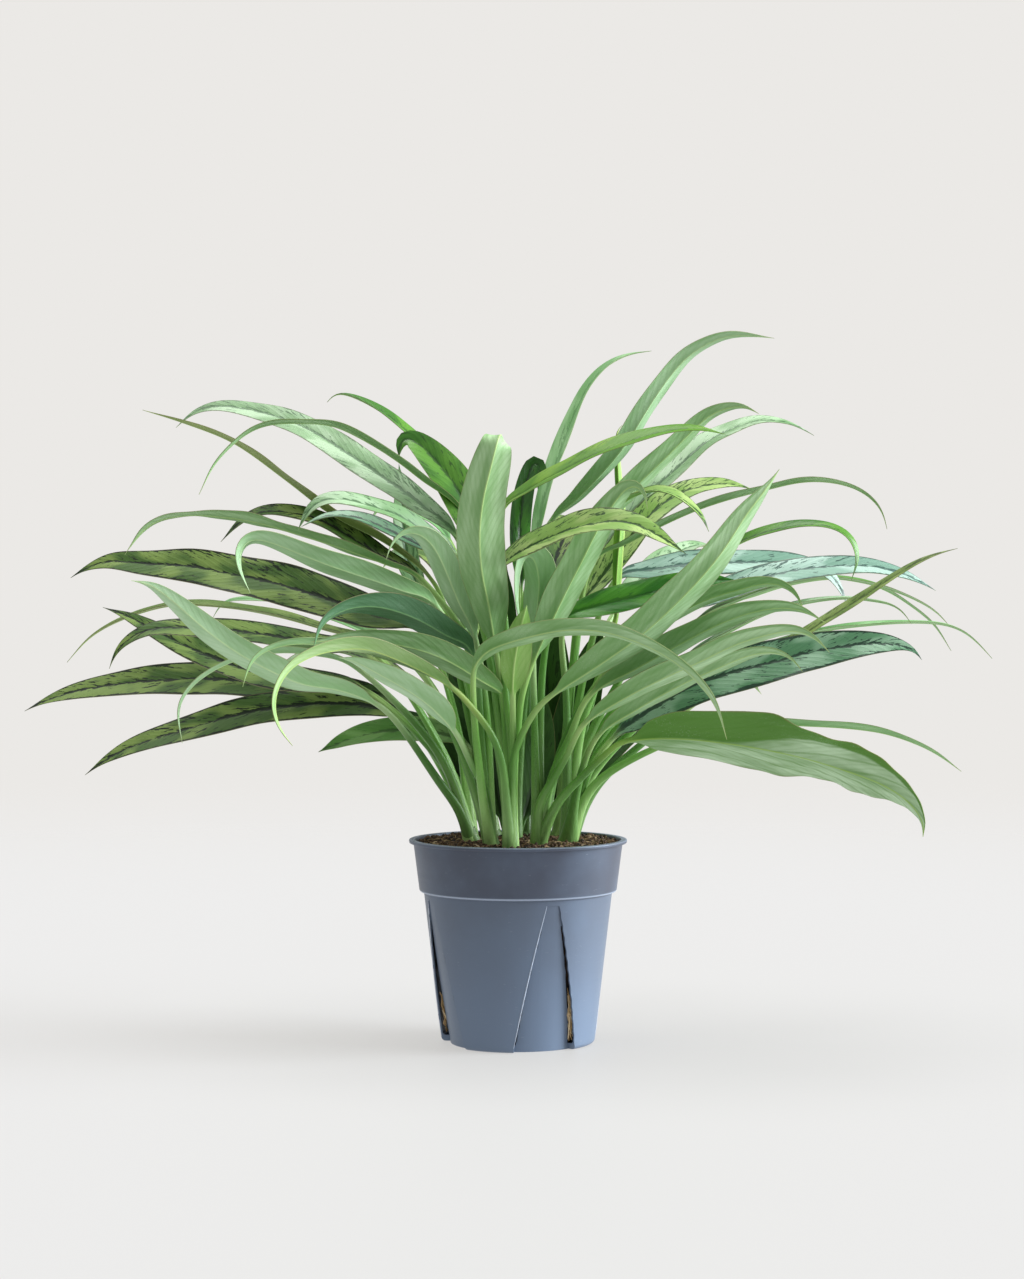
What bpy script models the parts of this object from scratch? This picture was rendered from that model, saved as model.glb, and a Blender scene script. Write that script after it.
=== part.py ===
"""Potted narrow-leaved Chinese evergreen: a pot with leaning side panels, its soil and nine leafy shoots.

Lengths are in millimetres and turned to metres where a mesh is made. The pot stands on z = 0, its axis is
the z axis, and the front of the plant looks towards -Y.
"""

import math
from collections import namedtuple

import bmesh
import bpy
from mathutils import Matrix, Quaternion, Vector, noise

MM = 0.001

# Pot
POT_HEIGHT = 158.0
RIM_RADIUS = 85.0
RIM_DROP = 2.6
RIM_ROUND = 0.8
RIM_TAPER = 0.2
RIM_UNDERCUT = 0.6
COLLAR_TOP_RADIUS = 81.5
COLLAR_BOTTOM_RADIUS = 77.0
COLLAR_BOTTOM_Z = 119.5
COLLAR_ROUND = 2.0
BODY_TOP_RADIUS = 73.3
BODY_TOP_Z = 116.6
BODY_BOTTOM_RADIUS = 59.6
BOTTOM_ROUND = 3.6
WALL = 1.4
FLOOR_TOP_Z = 4.6
FLOOR_ROUND = 1.6
FOOT_RING_WIDTH = 6.0
FOOT_HEIGHT = 2.6
CENTRE_PAD_RADIUS = 22.0
DRAIN_RADIUS = 4.0
DRAIN_CIRCLE = 36.0
DRAINS = 6
POT_STEPS = 38

# Side panels, each between two slits that spread downwards
PANELS = 4
FIRST_PANEL_ANGLE = math.radians(-68.7)
PANEL_TOP_Z = 113.0
PANEL_TOP_HALF_ANGLE = math.radians(3.9)
PANEL_BOTTOM_HALF_ANGLE = math.radians(25.3)
PANEL_LEAN = 6.5
PANEL_SINK = 0.5
PANEL_SLIT = math.radians(0.7)
PANEL_BANDS = 4
PANEL_ROOT = 2.5

# How far a cutter runs past what it cuts
CUT_MARGIN = 5.0

# Soil
SOIL_TOP_Z = 155.0
SOIL_MOUND = 1.6
SOIL_ROUGHNESS = 1.1
SOIL_CRUMBS = (9.0, 4.0)
SOIL_EDGE_DROP = 1.0
SOIL_RINGS = (0.86, 0.6, 0.32)
SOIL_GAP = 0.6
SOIL_STEPS = 28
HOLE_BOTTOM_Z = 117.6
HOLE_GAP = 0.4

# Canes
CANE_BOTTOM_Z = 118.0
CANE_TOP_Z = 196.0
CANE_SIDES = 10
CANE_TOP_SHARE = 0.55
STALK_ROOT_Z = 158.0

# Leaves
STALK_ROOT_RADIUS = 4.3
STALK_NECK_RADIUS = 2.1
BLADE_THICKNESS = 0.8
KEEL_DEPTH = 1.3
STALK_RINGS = 3
BLADE_RINGS = (0.0, 0.09, 0.22, 0.37, 0.53, 0.69, 0.83, 0.94, 1.0)
BLADE_OUTLINE = ((0.0, 0.10), (0.07, 0.46), (0.16, 0.78), (0.28, 0.96), (0.38, 1.0), (0.55, 0.94),
                 (0.69, 0.80), (0.82, 0.56), (0.93, 0.28), (1.0, 0.05))

# The leaves' courses below are laid out as the plant reads to an eye at this place.
EYE = Vector((-4.7, -2262.0, 356.0))

# A shoot's cane: its place in the soil, its radius there and where its top leans to.
Shoot = namedtuple("Shoot", "x y radius lean")
SHOOTS = {
    "left": Shoot(-35, -14, 7.5, (-14, -3)),
    "left_back": Shoot(-17.5, 26, 7.0, (-14, 5)),
    "left_front": Shoot(-20, -43, 7.0, (-8, -6)),
    "front": Shoot(-6, -62, 7.0, (1, -4)),
    "centre": Shoot(-4, 2, 7.5, (-2, 2)),
    "right_front": Shoot(15, -42, 7.0, (9, -6)),
    "right": Shoot(38, -16, 9.0, (14, -4)),
    "right_back": Shoot(31, 26, 7.5, (14, 5)),
    "back": Shoot(4, 44, 7.5, (0, 9)),
}

# A leaf: its shoot, the blade's width, where the middle of its upper face looks, the points that its stalk
# passes and those of its blade from neck to tip (across, depth, height), its twist from neck to tip in
# degrees, how far its halves are folded up in degrees, and how far its edges wave.
Leaf = namedtuple("Leaf", "shoot width face stalk blade twist fold wave", defaults=(0, 14, 0))

LEAVES = {
    # Left side, from the top down
    "left_high_silver": Leaf("left_back", 27, (0.1, -0.8, 0.6), [(-36, 32, 300)],
        [(-44, 36, 387), (-78, 60, 422), (-108, 84, 443), (-139, 105, 464), (-170, 122, 482),
         (-201, 134, 492), (-232, 142, 497), (-253, 145, 492), (-267, 142, 480)],
        fold=7),
    "left_high_olive": Leaf("left_back", 24, (-0.35, 0.2, 0.9), [(-44, 34, 280)],
        [(-61, 44, 352), (-97, 58, 387), (-144, 70, 412), (-180, 78, 439), (-221, 84, 468),
         (-261, 86, 484), (-293, 82, 494)]),
    "left_high_arch": Leaf("centre", 18, (0.0, 0.1, 1.0), [(-16, 4, 320)],
        [(-37, 5, 407), (-76, 0, 441), (-97, -5, 457), (-120, -10, 471), (-144, -15, 482), (-168, -20, 484),
         (-193, -22, 483), (-213, -25, 475), (-236, -28, 453), (-249, -30, 428)]),
    "left_bright": Leaf("back", 24, (0.5, -0.3, 0.8), [(-12, 46, 300)],
        [(-37, 40, 399), (-57, 50, 438), (-76, 60, 465), (-96, 68, 485), (-114, 74, 497), (-131, 79, 505),
         (-143, 82, 507), (-149, 83, 500)]),
    "left_dark_curl": Leaf("centre", 33, (-0.1, -0.75, 0.65), [(-10, 4, 290)],
        [(-26, -4, 376), (-37, 5, 411), (-51, 15, 438), (-65, 22, 455), (-78, 28, 468), (-87, 30, 473),
         (-92, 29, 469), (-93, 26, 456)]),
    "left_silver_arch": Leaf("centre", 22, (0.1, -0.6, 0.8), [(-22, -2, 300)],
        [(-47, -10, 379), (-69, -20, 396), (-92, -28, 411), (-115, -34, 419), (-135, -38, 424),
         (-150, -40, 424), (-162, -42, 417), (-172, -43, 400)]),
    "left_dark_thin": Leaf("left_back", 20, (0.0, -0.4, 0.9), [(-38, 26, 300)],
        [(-53, 16, 372), (-76, 22, 387), (-97, 28, 398), (-120, 33, 408), (-139, 36, 412), (-154, 37, 410),
         (-169, 38, 403)]),
    "left_wavy": Leaf("centre", 17, (0.1, 0.45, 0.9), [(-28, 4, 290)],
        [(-73, 8, 360), (-100, 4, 373), (-135, 0, 386), (-170, -3, 397), (-201, -6, 406), (-232, -8, 411),
         (-256, -10, 412), (-277, -10, 409), (-291, -10, 402), (-300, -10, 391), (-307, -10, 381)],
        wave=1.2),
    "left_dark_olive": Leaf("left_back", 24, (0.0, -0.5, 0.87), [(-42, 30, 290)],
        [(-73, 42, 358), (-108, 55, 380), (-135, 64, 397), (-158, 70, 409), (-182, 72, 414), (-201, 72, 414),
         (-217, 72, 406), (-232, 70, 391)]),
    "left_pale_hook": Leaf("left_front", 26, (0.3, 0.75, 0.6), [(-34, -34, 262)],
        [(-61, -32, 338), (-92, -50, 354), (-123, -64, 365), (-147, -75, 373), (-170, -84, 382),
         (-190, -91, 390), (-207, -95, 394), (-217, -98, 385), (-216, -100, 368), (-209, -101, 351)],
        twist=-30),
    "left_big": Leaf("left", 37, (0.05, -0.88, 0.45), [(-48, -4, 250)],
        [(-73, 2, 319), (-115, 14, 335), (-147, 24, 346), (-186, 36, 358), (-225, 46, 366), (-256, 53, 372),
         (-291, 58, 374), (-318, 62, 376), (-338, 64, 370), (-349, 65, 363)],
        fold=7),
    "left_pale_straight": Leaf("left", 27, (0.3, 0.85, 0.4), [(-46, -22, 182), (-61, -32, 203),
        (-76, -40, 225), (-91, -48, 246)],
        [(-109, -55, 264), (-139, -75, 276), (-170, -90, 281), (-205, -105, 297), (-225, -112, 309),
         (-244, -120, 323), (-260, -126, 337), (-273, -130, 348), (-287, -134, 358), (-302, -138, 361)],
        twist=30),
    "left_olive_arch": Leaf("left", 20, (0.0, -0.2, 0.98), [(-46, 0, 240)],
        [(-92, 26, 305), (-147, 42, 322), (-186, 52, 333), (-225, 60, 340), (-264, 64, 342), (-287, 66, 338),
         (-310, 68, 330), (-326, 69, 322), (-338, 70, 313), (-352, 70, 297)]),
    "left_dark_point": Leaf("left", 26, (0.0, -0.8, 0.6), [(-56, -16, 214)],
        [(-115, -5, 273), (-162, -3, 282), (-201, 0, 288), (-236, 5, 300), (-264, 8, 312), (-287, 10, 324),
         (-307, 12, 334), (-324, 14, 340)],
        fold=7),
    "left_small_arch": Leaf("left", 22, (0.1, -0.75, 0.65), [(-58, -22, 226)],
        [(-108, -24, 301), (-154, -28, 311), (-193, -30, 318), (-225, -32, 322), (-256, -33, 324),
         (-279, -33, 324), (-295, -33, 320), (-309, -33, 311), (-316, -33, 301), (-319, -33, 292)],
        fold=7),
    "left_far_low": Leaf("left_back", 18, (0.2, -0.4, 0.9), [(-46, 42, 240)],
        [(-84, 74, 300), (-131, 98, 326), (-180, 112, 343), (-217, 118, 346), (-231, 119, 343),
         (-238, 119, 332)]),
    "left_far_high": Leaf("back", 18, (0.2, -0.3, 0.9), [(-20, 56, 300)],
        [(-53, 92, 391), (-76, 112, 411), (-104, 130, 417), (-112, 134, 414), (-115, 135, 406)]),
    "left_upright": Leaf("left_back", 20, (0.1, -0.9, 0.2), [(-44, 46, 260)],
        [(-72, 76, 340), (-86, 90, 375), (-89, 98, 400), (-91, 104, 430), (-93, 108, 452)]),
    "left_low_big": Leaf("left_back", 34, (0.0, -0.8, 0.6), [(-50, 24, 208)],
        [(-96, 24, 266), (-147, 38, 276), (-193, 46, 281), (-237, 52, 284), (-278, 56, 283), (-318, 60, 279),
         (-346, 62, 274), (-369, 63, 267), (-385, 63, 259)],
        fold=7),
    "left_lowest": Leaf("left", 30, (0.2, -0.75, 0.63), [(-54, -12, 204)],
        [(-84, -8, 250), (-111, -6, 262), (-147, -2, 265), (-186, 4, 262), (-219, 8, 256), (-258, 12, 245),
         (-297, 15, 233), (-322, 16, 221), (-338, 16, 209)],
        fold=7),
    "left_thin_hook": Leaf("left", 16, (-0.3, 0.15, 0.95), [(-62, -30, 226)],
        [(-123, -48, 291), (-162, -58, 304), (-193, -66, 305), (-221, -74, 299), (-243, -79, 288),
         (-256, -82, 277), (-264, -84, 265), (-265, -85, 251), (-262, -85, 234)]),
    "left_mint_arch": Leaf("left_front", 18, (0.1, 0.5, 0.85), [(-44, -52, 226)],
        [(-76, -66, 291), (-108, -84, 304), (-135, -100, 309), (-161, -114, 312), (-182, -124, 311),
         (-203, -130, 303), (-211, -132, 291), (-215, -132, 278)]),
    "left_front_drop": Leaf("front", 26, (0.3, 0.6, 0.75), [(-10, -74, 196), (-12, -84, 216), (-18, -88, 236),
        (-28, -90, 252)],
        [(-48, -94, 275), (-67, -108, 287), (-92, -126, 299), (-118, -142, 308), (-143, -156, 307),
         (-164, -168, 301), (-179, -177, 291), (-188, -183, 276), (-190, -186, 260), (-185, -187, 244),
         (-176, -187, 232)],
        twist=30),
    "left_front_grey": Leaf("left_front", 32, (0.35, 0.6, 0.7), [(-26, -60, 196), (-37, -76, 219)],
        [(-49, -86, 243), (-69, -100, 264), (-88, -112, 277), (-108, -122, 288), (-127, -128, 298),
         (-140, -130, 301)]),
    "left_low_green": Leaf("left_back", 27, (0.05, -0.7, 0.7), [(-34, 28, 204)],
        [(-38, 26, 232), (-61, 24, 241), (-90, 20, 244), (-115, 16, 241), (-135, 13, 236), (-156, 10, 227)]),
    # Leaves that come towards the front
    "front_big_upright": Leaf("front", 40, (0.05, 0.85, 0.5), [(-8, -66, 200), (-11, -64, 262)],
        [(-17, -66, 305), (-23, -88, 343), (-28, -107, 367), (-30, -126, 396), (-27, -142, 425),
         (-21, -154, 450), (-17, -160, 466), (-14, -153, 476), (-12, -141, 471), (-10, -131, 457),
         (-9, -124, 440)],
        fold=24),
    "front_white_tip": Leaf("left_front", 24, (0.1, 0.7, 0.7), [(-24, -48, 250)],
        [(-33, -50, 315), (-46, -68, 344), (-55, -84, 366), (-64, -99, 385), (-74, -111, 396),
         (-86, -120, 399), (-96, -126, 393), (-101, -129, 385), (-103, -130, 377)]),
    "front_blue_green": Leaf("left_front", 30, (0.15, 0.75, 0.62), [(-28, -50, 228)],
        [(-34, -54, 302), (-57, -74, 319), (-80, -92, 332), (-104, -107, 340), (-123, -118, 341),
         (-139, -126, 337), (-151, -132, 329), (-157, -135, 317), (-160, -136, 307)]),
    "front_left_plain": Leaf("front", 28, (0.2, 0.75, 0.6), [(-4, -62, 222), (-4, -60, 250)],
        [(-8, -62, 270), (-30, -74, 284), (-53, -87, 298), (-76, -98, 307), (-100, -106, 312),
         (-127, -113, 315), (-162, -120, 313)]),
    "front_long_arch": Leaf("left_front", 22, (0.0, 0.6, 0.8), [(-27, -60, 188), (-31, -76, 220),
        (-34, -84, 251)],
        [(-35, -92, 288), (-31, -104, 299), (-21, -120, 308), (-1, -140, 315), (19, -155, 320),
         (39, -166, 323), (64, -177, 322), (89, -187, 315), (111, -194, 305), (130, -199, 292),
         (145, -202, 277), (155, -204, 262), (163, -206, 237)]),
    "front_young": Leaf("front", 24, (0.1, 0.95, 0.2), [(-4, -68, 210), (-4, -73, 244)],
        [(-4, -80, 272), (-3, -90, 294), (0, -97, 312), (3, -100, 328), (7, -99, 342)]),
    "front_folded": Leaf("right_front", 30, (0.2, 0.5, 0.85), [(13, -48, 240)],
        [(12, -54, 306), (15, -64, 336), (17, -74, 358), (14, -82, 376), (8, -87, 383), (3, -89, 376),
         (0, -90, 358), (0, -91, 340), (3, -92, 322)]),
    "front_lime_rib": Leaf("front", 31, (-0.3, 0.8, 0.5), [(-3, -64, 218), (0, -64, 246), (3, -64, 271)],
        [(12, -66, 299), (24, -78, 325), (37, -90, 352), (50, -102, 377), (62, -113, 401), (75, -122, 422),
         (88, -128, 436), (98, -132, 431), (101, -133, 417)]),
    "front_right_rising": Leaf("front", 36, (-0.3, 0.75, 0.6), [(-4, -70, 218), (1, -74, 236),
        (10, -78, 254)],
        [(24, -82, 270), (64, -102, 296), (99, -122, 321), (134, -140, 354), (158, -150, 382),
         (177, -157, 411), (193, -161, 432), (204, -164, 448)]),
    "front_olive": Leaf("front", 31, (0.1, -0.75, 0.65), [(-6, -66, 240)],
        [(-20, -62, 356), (-8, -85, 376), (13, -106, 389), (36, -124, 399), (56, -138, 405), (76, -146, 407),
         (94, -151, 404), (111, -155, 395), (131, -158, 382)]),
    # Middle and top
    "top_dark_curl": Leaf("back", 18, (0.2, -0.85, 0.4), [(3, 50, 280)],
        [(2, 58, 356), (1, 67, 391), (3, 76, 422), (8, 83, 444), (13, 87, 455), (17, 86, 451), (18, 81, 437),
         (16, 77, 421)]),
    "top_lime": Leaf("centre", 25, (-0.15, -0.45, 0.87), [(-8, -8, 300)],
        [(-16, -20, 405), (9, -30, 432), (36, -38, 447), (64, -44, 461), (95, -50, 472), (120, -54, 478),
         (142, -57, 479), (162, -59, 475)]),
    "top_mint": Leaf("back", 24, (-0.7, -0.35, 0.6), [(8, 46, 300)],
        [(12, 52, 376), (17, 62, 407), (23, 71, 433), (33, 83, 461), (44, 94, 490), (55, 102, 512),
         (69, 108, 528), (86, 112, 537), (104, 115, 540)]),
    "top_tallest": Leaf("centre", 22, (-0.55, 0.7, 0.45), [(2, 8, 320)],
        [(21, 15, 399), (45, 5, 424), (66, -5, 446), (84, -14, 468), (97, -22, 489), (112, -30, 512),
         (129, -37, 533), (146, -43, 545), (164, -48, 552), (183, -52, 552), (200, -55, 550)]),
    "top_two_tone": Leaf("centre", 27, (-0.5, 0.65, 0.55), [(8, 0, 290)],
        [(33, -5, 364), (52, -10, 391), (72, -14, 415), (95, -18, 438), (115, -22, 457), (133, -25, 475),
         (148, -28, 489), (164, -30, 496), (177, -32, 497), (188, -34, 491)]),
    "top_silver_back": Leaf("right_back", 25, (-0.3, -0.6, 0.75), [(42, 28, 280)],
        [(56, 32, 368), (80, 48, 403), (103, 62, 429), (126, 76, 450), (146, 87, 468), (165, 96, 478),
         (185, 103, 485), (203, 108, 485), (218, 112, 481), (231, 114, 474)]),
    "top_lime_roll": Leaf("right_back", 15, (-0.9, -0.3, 0.1), [(56, 18, 262)],
        [(76, 10, 330), (79, 8, 356), (81, 6, 383), (83, 6, 414), (80, 8, 446), (78, 10, 469), (76, 12, 478),
         (81, 12, 482)],
        fold=45),
    "right_olive_back": Leaf("right_back", 27, (-0.2, -0.75, 0.6), [(40, 22, 260)],
        [(47, 16, 335), (64, 24, 361), (81, 30, 385), (98, 36, 407), (115, 42, 422), (134, 48, 432),
         (154, 53, 436), (169, 56, 436), (183, 58, 432)]),
    "right_small_arch": Leaf("right_front", 22, (0.1, -0.3, 0.95), [(20, -44, 300)],
        [(45, -44, 376), (66, -60, 407), (86, -72, 425), (103, -82, 431), (120, -90, 429), (134, -95, 420),
         (144, -98, 410), (149, -99, 399)]),
    "right_long_thin": Leaf("right_back", 17, (0.0, 0.2, 0.98), [(42, 14, 290)],
        [(56, -6, 372), (84, -15, 390), (111, -21, 404), (138, -26, 416), (165, -30, 425), (193, -34, 432),
         (220, -37, 438), (243, -38, 438), (263, -40, 433), (277, -41, 424), (285, -42, 413),
         (288, -43, 401)]),
    "right_hook": Leaf("right", 20, (0.05, -0.35, 0.93), [(54, -18, 262)],
        [(103, -36, 340), (138, -46, 369), (172, -54, 390), (197, -60, 399), (220, -64, 404),
         (242, -68, 403), (257, -70, 396), (264, -72, 384), (264, -73, 373), (260, -73, 361)]),
    "right_silver_wide": Leaf("right_back", 25, (0.0, -0.8, 0.6), [(50, 14, 280)],
        [(73, 14, 358), (103, 20, 369), (134, 26, 374), (169, 30, 375), (204, 36, 375), (225, 40, 373),
         (241, 42, 368), (250, 43, 357), (258, 44, 340)],
        fold=7),
    "right_striped": Leaf("right_back", 24, (0.0, -0.75, 0.65), [(56, 14, 240)],
        [(111, 2, 330), (146, 8, 347), (181, 14, 360), (216, 20, 369), (247, 25, 372), (275, 29, 372),
         (298, 32, 367), (314, 34, 360), (326, 35, 353)],
        fold=7),
    "right_arch_green": Leaf("right_back", 18, (0.0, -0.1, 1.0), [(60, 30, 240)],
        [(134, 34, 325), (173, 42, 346), (208, 49, 358), (240, 54, 363), (267, 58, 360), (293, 61, 353),
         (314, 64, 344), (328, 66, 335), (337, 67, 325)]),
    "right_arch_thin": Leaf("right_back", 16, (0.0, -0.1, 1.0), [(66, 40, 240)],
        [(142, 62, 329), (189, 74, 351), (228, 82, 361), (259, 87, 362), (286, 90, 354), (307, 93, 341),
         (325, 95, 326), (338, 96, 306)]),
    "right_diagonal": Leaf("right", 14, (-0.3, -0.5, 0.8), [(66, -12, 206)],
        [(134, -5, 262), (173, -10, 288), (208, -14, 309), (239, -17, 329), (265, -20, 345), (289, -22, 361),
         (310, -24, 374), (328, -25, 382), (343, -26, 386)]),
    "right_far_thin": Leaf("right_back", 16, (0.0, -0.1, 1.0), [(66, 20, 220)],
        [(134, 12, 282), (173, 16, 301), (208, 19, 314), (239, 22, 322), (271, 25, 326), (302, 28, 328),
         (329, 30, 327), (346, 32, 322), (359, 33, 312), (370, 34, 300)]),
    "right_short_arch": Leaf("right_back", 16, (0.0, -0.1, 1.0), [(62, 18, 226)],
        [(126, 4, 297), (161, 6, 319), (196, 8, 336), (228, 10, 344), (255, 12, 347), (276, 13, 345),
         (292, 14, 342), (301, 15, 336), (307, 15, 327)]),
    "right_plain_hook": Leaf("right_front", 22, (-0.1, 0.6, 0.8), [(38, -48, 240)],
        [(84, -56, 309), (115, -68, 330), (146, -80, 346), (172, -88, 354), (193, -94, 359),
         (208, -98, 357), (218, -100, 349), (223, -101, 338)]),
    "right_plain_wide": Leaf("right_front", 29, (-0.15, 0.65, 0.75), [(26, -52, 206), (40, -56, 238)],
        [(56, -60, 272), (91, -77, 292), (125, -94, 311), (154, -108, 326), (181, -119, 336),
         (206, -128, 340), (224, -133, 337), (240, -136, 328)]),
    "right_plain_long": Leaf("right_front", 27, (-0.1, 0.6, 0.8), [(16, -52, 184), (27, -60, 205),
        (39, -70, 226)],
        [(51, -80, 249), (80, -98, 268), (111, -115, 284), (142, -130, 298), (169, -141, 311),
         (195, -150, 319), (217, -156, 322), (232, -160, 316), (243, -162, 305)]),
    "right_plain_low": Leaf("right", 24, (-0.1, 0.55, 0.82), [(48, -40, 206)],
        [(62, -56, 240), (91, -76, 260), (125, -94, 279), (156, -108, 293), (181, -119, 303),
         (201, -127, 305), (215, -132, 299), (222, -134, 290)]),
    "right_dark_glossy": Leaf("right", 27, (0.0, -0.8, 0.6), [(38, -24, 262)],
        [(35, -26, 327), (60, -29, 340), (87, -31, 347), (115, -33, 354), (142, -34, 360), (172, -35, 361)]),
    "right_big_dark": Leaf("right", 38, (-0.05, -0.88, 0.45), [(52, -20, 204)],
        [(73, -22, 237), (103, -28, 260), (134, -33, 278), (165, -38, 289), (197, -43, 297), (229, -48, 305),
         (259, -52, 310), (284, -55, 312), (302, -57, 310), (312, -58, 305), (315, -58, 299)],
        fold=7),
    "right_wavy_front": Leaf("right_front", 55, (0.15, 0.8, 0.6), [(30, -56, 186), (50, -62, 208),
        (68, -68, 225)],
        [(84, -74, 236), (125, -90, 238), (172, -106, 233), (218, -122, 224), (252, -133, 214),
         (282, -142, 203), (302, -148, 191), (312, -151, 180), (317, -153, 171), (316, -154, 161)],
        wave=3.0),
    "right_low_thin": Leaf("right", 18, (0.0, 0.3, 0.95), [(64, -26, 206)],
        [(142, -40, 244), (189, -50, 249), (229, -58, 248), (259, -64, 246), (286, -69, 242),
         (310, -73, 234), (328, -76, 225), (346, -79, 212)]),
    # Leaves deep among the stalks
    "inner_back_right": Leaf("back", 44, (-0.1, -1.0, 0.1), [(9, 50, 168)],
        [(14, 54, 180), (20, 60, 206), (23, 63, 240), (22, 64, 290), (18, 63, 335), (14, 60, 378)]),
    "inner_back_left": Leaf("back", 44, (0.1, -1.0, 0.1), [(-2, 50, 168)],
        [(-7, 54, 180), (-12, 60, 206), (-16, 63, 240), (-17, 64, 290), (-14, 63, 335), (-9, 60, 376)]),
    "inner_centre_right": Leaf("centre", 28, (0.15, -1.0, 0.1), [(0, 5, 166)],
        [(4, 7, 174), (10, 10, 194), (15, 12, 220), (18, 13, 248), (19, 12, 276)]),
    "inner_centre_left": Leaf("centre", 26, (-0.15, -1.0, 0.1), [(-8, 4, 166)],
        [(-12, 6, 174), (-16, 9, 194), (-20, 11, 220), (-22, 11, 248), (-21, 10, 276)]),
    "inner_right_high": Leaf("right_back", 38, (-0.1, -1.0, 0.1), [(32, 30, 168)],
        [(34, 33, 178), (37, 36, 204), (42, 38, 236), (49, 40, 268), (58, 41, 300), (66, 42, 328)]),
    "inner_right_low": Leaf("right_back", 26, (-0.2, -0.8, 0.6), [(37, 33, 172)],
        [(49, 42, 194), (64, 50, 218), (82, 57, 238), (102, 62, 250), (120, 66, 256)]),
    "inner_left_high": Leaf("left_back", 36, (0.1, -1.0, 0.1), [(-22, 30, 168)],
        [(-23, 33, 178), (-26, 36, 204), (-32, 39, 236), (-42, 41, 268), (-54, 42, 298)]),
    "inner_left_low": Leaf("left_back", 28, (0.2, -0.8, 0.6), [(-28, 31, 176)],
        [(-42, 40, 204), (-60, 48, 230), (-78, 53, 248), (-98, 57, 260)]),
    # Leaves at the back, hidden from the front
    "back_left_low": Leaf("left_back", 28, (0.4, -0.6, 0.7), [(-50, 62, 220)],
        [(-76, 100, 268), (-112, 150, 296), (-146, 196, 306), (-172, 238, 300), (-190, 270, 286)]),
    "back_left_high": Leaf("back", 28, (0.2, -0.7, 0.7), [(-18, 84, 270)],
        [(-34, 112, 330), (-54, 152, 366), (-74, 192, 384), (-92, 228, 384), (-106, 256, 370)]),
    "back_middle_low": Leaf("back", 30, (0.1, -0.5, 0.85), [(2, 92, 220)],
        [(4, 128, 258), (8, 180, 282), (10, 228, 286), (8, 270, 274), (4, 300, 252)]),
    "back_middle_high": Leaf("back", 28, (0.0, -0.6, 0.8), [(12, 74, 290)],
        [(22, 96, 352), (34, 132, 390), (42, 170, 408), (44, 206, 404), (40, 236, 384)]),
    "back_right_low": Leaf("right_back", 30, (-0.4, -0.6, 0.7), [(58, 62, 214)],
        [(82, 98, 254), (114, 146, 284), (146, 190, 296), (172, 230, 290), (190, 262, 272)]),
    "back_right_high": Leaf("right_back", 28, (-0.3, -0.6, 0.75), [(52, 56, 280)],
        [(74, 86, 334), (104, 126, 368), (132, 164, 386), (154, 198, 386), (170, 224, 372)]),
}

POT_COLOUR = (0.065, 0.085, 0.115)
SOIL_COLOUR = (0.045, 0.026, 0.016)
LEAF_COLOUR = (0.115, 0.26, 0.085)


def material(name, colour, roughness):
    made = bpy.data.materials.new(name)
    made.use_nodes = True
    shader = made.node_tree.nodes["Principled BSDF"]
    shader.inputs["Base Color"].default_value = (*colour, 1.0)
    shader.inputs["Roughness"].default_value = roughness
    shader.inputs["Metallic"].default_value = 0.0
    return made


def new_collection(name):
    made = bpy.data.collections.new(name)
    bpy.context.scene.collection.children.link(made)
    return made


def new_object(name, mesh, collection):
    made = bpy.data.objects.new(name, mesh)
    collection.objects.link(made)
    return made


def mesh_of(name, shape):
    """A mesh in metres from a bmesh in millimetres."""
    bmesh.ops.scale(shape, vec=(MM, MM, MM), verts=shape.verts)
    mesh = bpy.data.meshes.new(name)
    shape.to_mesh(mesh)
    shape.free()
    return mesh


def turned(name, profile, steps, collection):
    """A closed profile of (radius, height), running down its outer side, turned about the z axis."""
    shape = bmesh.new()
    points = [shape.verts.new((radius, 0, height)) for radius, height in profile]
    for a, b in zip(points, points[1:] + points[:1]):
        if a.co.x > 0 or b.co.x > 0:
            shape.edges.new((a, b))
    made = new_object(name, mesh_of(name, shape), collection)
    screw = made.modifiers.new("Turn", "SCREW")
    screw.steps = steps
    screw.render_steps = steps
    screw.use_merge_vertices = True
    screw.merge_threshold = 0.00001
    applied(made)
    return made


def applied(made):
    """Gives an object the mesh that its modifiers make."""
    graph = bpy.context.evaluated_depsgraph_get()
    mesh = bpy.data.meshes.new_from_object(made.evaluated_get(graph))
    made.modifiers.clear()
    made.data = mesh


def boolean(made, other, operation, solver="EXACT"):
    """Joins, cuts or trims an object by another object or by all that a collection holds."""
    step = made.modifiers.new(operation.title(), "BOOLEAN")
    step.operation = operation
    step.solver = solver
    if isinstance(other, bpy.types.Collection):
        step.operand_type = "COLLECTION"
        step.collection = other
    else:
        step.object = other
    applied(made)


def remove_all(collection):
    for made in list(collection.objects):
        bpy.data.objects.remove(made)


def body_radius(z):
    """The pot body's outer radius at a height."""
    share = z / BODY_TOP_Z
    return BODY_BOTTOM_RADIUS + (BODY_TOP_RADIUS - BODY_BOTTOM_RADIUS) * share


def collar_radius(z):
    """The collar's outer radius at a height."""
    share = (z - COLLAR_BOTTOM_Z) / (POT_HEIGHT - RIM_DROP - COLLAR_BOTTOM_Z)
    return COLLAR_BOTTOM_RADIUS + (COLLAR_TOP_RADIUS - COLLAR_BOTTOM_RADIUS) * share


def panel_radius(z):
    """The outer radius of a panel, which leans in from its top down, at a height."""
    share = (PANEL_TOP_Z - z) / PANEL_TOP_Z
    return body_radius(z) - PANEL_SINK - PANEL_LEAN * max(0.0, share)


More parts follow.
